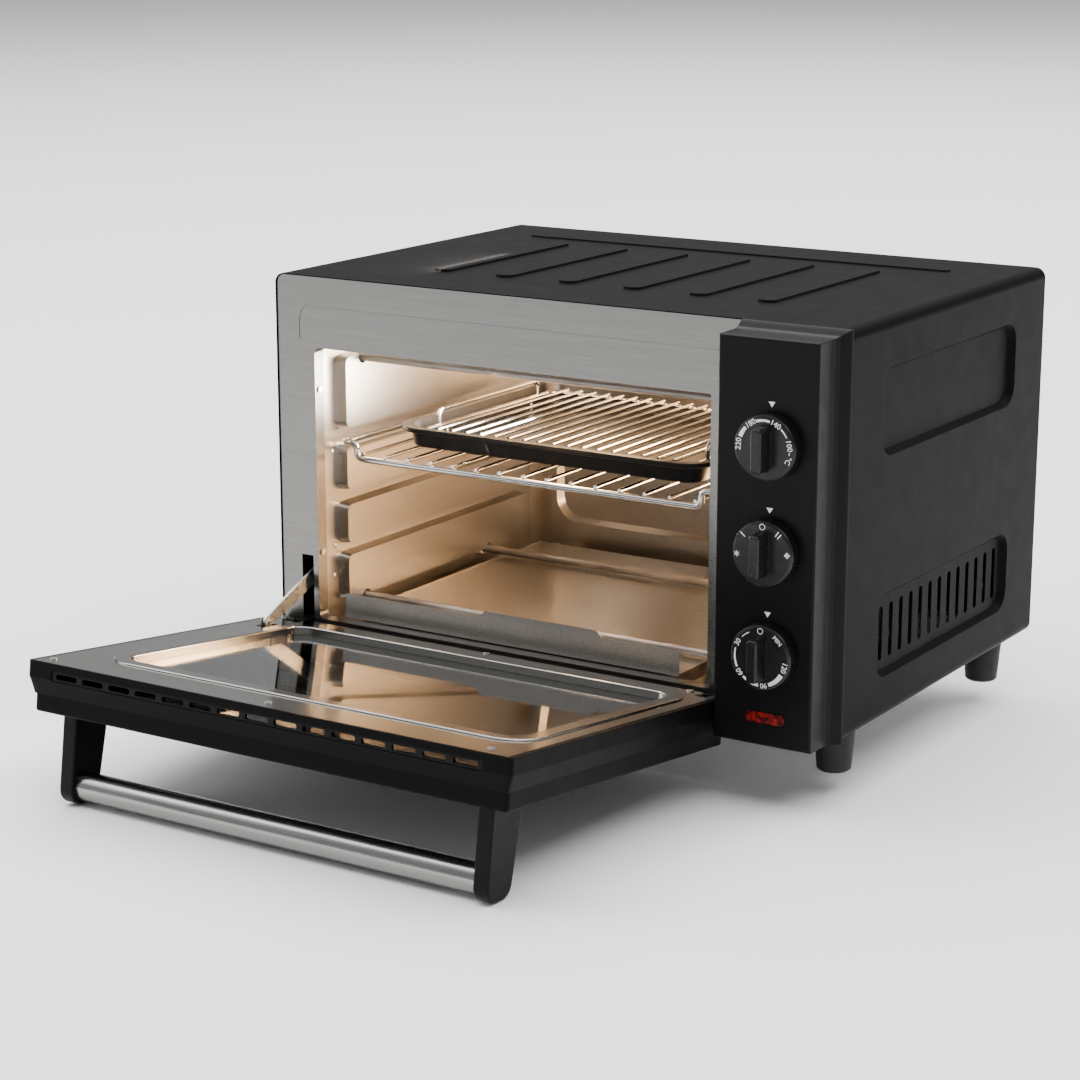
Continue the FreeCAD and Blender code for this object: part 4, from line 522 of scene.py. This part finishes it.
def icons():
    """The two small signs on the function dial: a six-armed flake and a four-bladed fan."""
    low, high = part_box("function_knob")
    centre = ((low.x + high.x) / 2, DIAL_FACE, (low.z + high.z) / 2)
    lay = front_facing(centre)
    shells = []
    half, wide = 2.1 * MM, 0.28 * MM
    blade_reach, blade_radius = 1.25 * MM, 0.8 * MM
    for k in range(3):
        turn = math.radians(60 * k)
        arm = np.array([[-half, -wide], [half, -wide], [half, wide], [-half, wide]])
        spin = np.array([[math.cos(turn), math.sin(turn)], [-math.sin(turn), math.cos(turn)]])
        flat, faces = slab(arm @ spin, PRINT_THICK, lambda p: p)
        shells.append((lay(around(-95, DIAL_RADIUS, flat)), faces))
    for k in range(4):
        turn = math.radians(90 * k)
        centre_of_blade = blade_reach * np.array([math.cos(turn), math.sin(turn)])
        flat, faces = slab(disc(centre_of_blade, blade_radius, 16), PRINT_THICK, lambda p: p)
        shells.append((lay(around(85, DIAL_RADIUS, flat)), faces))
    as_piece("function_icons", *join(shells), "function_dial", "knob_black", PRINT, smooth=False)


def panel_pointers():
    """A small white triangle above each dial, pointing down at it."""
    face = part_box("control_panel")[0].y
    shells = []
    for node in ("temperature_knob", "function_knob", "timer_knob"):
        low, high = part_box(node)
        lay = front_facing(((low.x + high.x) / 2, face, (low.z + high.z) / 2))
        tip = np.array([[0, 26.6], [2.5, 30.4], [-2.5, 30.4]]) * MM
        shells.append(slab(tip, PRINT_THICK, lay))
    as_piece("panel_pointers", *join(shells), "cabinet", "panel_black", PRINT, smooth=False)


def studio():
    """A pale floor just under the handle's lowest point, soft lights, and the camera."""
    floor_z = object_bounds()[0].z - FLOOR_GAP
    reach = FLOOR_REACH
    mesh = bpy.data.meshes.new("floor")
    mesh.from_pydata([(-reach, -reach, floor_z), (reach, -reach, floor_z),
                      (reach, reach, floor_z), (-reach, reach, floor_z)], [], [(0, 1, 2, 3)])
    paint = Finish("pale floor", (0.97, 0.97, 0.97), 0.8, specular=0.1)
    paint.tint(paint.noise((0.7, 0.7, 0.7), 2), (0.965, 0.965, 0.965), (0.975, 0.975, 0.975))
    mesh.materials.append(paint.material)
    floor = bpy.data.objects.new("floor", mesh)
    bpy.context.scene.collection.objects.link(floor)
    floor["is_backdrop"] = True

    world = bpy.data.worlds.new("studio")
    world.use_nodes = True
    world.node_tree.nodes["Background"].inputs["Color"].default_value = (1, 1, 1, 1)
    world.node_tree.nodes["Background"].inputs["Strength"].default_value = WORLD_LEVEL
    bpy.context.scene.world = world

    for name, at, aim, size, power, colour in LIGHTS:
        lamp = bpy.data.lights.new(name, "AREA")
        lamp.shape = "RECTANGLE"
        lamp.size, lamp.size_y = size
        lamp.energy, lamp.color = power, colour
        holder = bpy.data.objects.new(name, lamp)
        holder.location = at
        holder.rotation_euler = (Vector(aim) - Vector(at)).to_track_quat("-Z", "Y").to_euler()
        holder.visible_camera = False
        bpy.context.scene.collection.objects.link(holder)

    view = bpy.data.cameras.new("camera")
    view.sensor_width, view.lens = SENSOR_MM, LENS_MM
    camera = bpy.data.objects.new("camera", view)
    turn = Matrix((CAMERA_RIGHT, CAMERA_UP, -CAMERA_AHEAD)).transposed().to_4x4()
    camera.matrix_world = Matrix.Translation(CAMERA_PLACE) @ turn
    bpy.context.scene.collection.objects.link(camera)
    bpy.context.scene.camera = camera


FLOOR_GAP, FLOOR_REACH = 0.0006, 30.0
SENSOR_MM, LENS_MM = 36.0, 90.03
CAMERA_PLACE = (1.0278, -1.7944, 0.6301)
CAMERA_RIGHT = Vector((0.8442, 0.5360, 0))
CAMERA_UP = Vector((-0.1304, 0.2054, 0.9699))
CAMERA_AHEAD = Vector((-0.5199, 0.8188, -0.2433))
WORLD_LEVEL = 0.42
WARM, PALE_WARM, WHITE = (1.0, 0.60, 0.30), (1.0, 0.9, 0.76), (1, 1, 1)
# name, place, point aimed at, size, watts, colour
LIGHTS = [
    ("overhead softbox", (0.0, 1.5, 4.5), (0, 1.5, 0), (9.0, 9.0), 1000, WHITE),
    ("left softbox", (-2.4, -1.2, 1.4), (0, -0.1, 0.1), (1.6, 1.6), 30, WHITE),
    ("cavity glow", (-0.04, -0.02, 0.262), (-0.10, 0.02, 0.10), (0.20, 0.16), 6.0, WARM),
    ("upper left glow", (-0.12, -0.05, 0.266), (-0.217, -0.05, 0.235), (0.10, 0.16), 3.2, PALE_WARM),
    ("lower cavity glow", (0.115, 0.04, 0.135), (-0.21, 0.0, 0.12), (0.16, 0.05), 2.2, WARM),
]

finish_cad_nodes()
dials()
icons()
panel_pointers()
tray_rim()
wall_rivets()
studio()
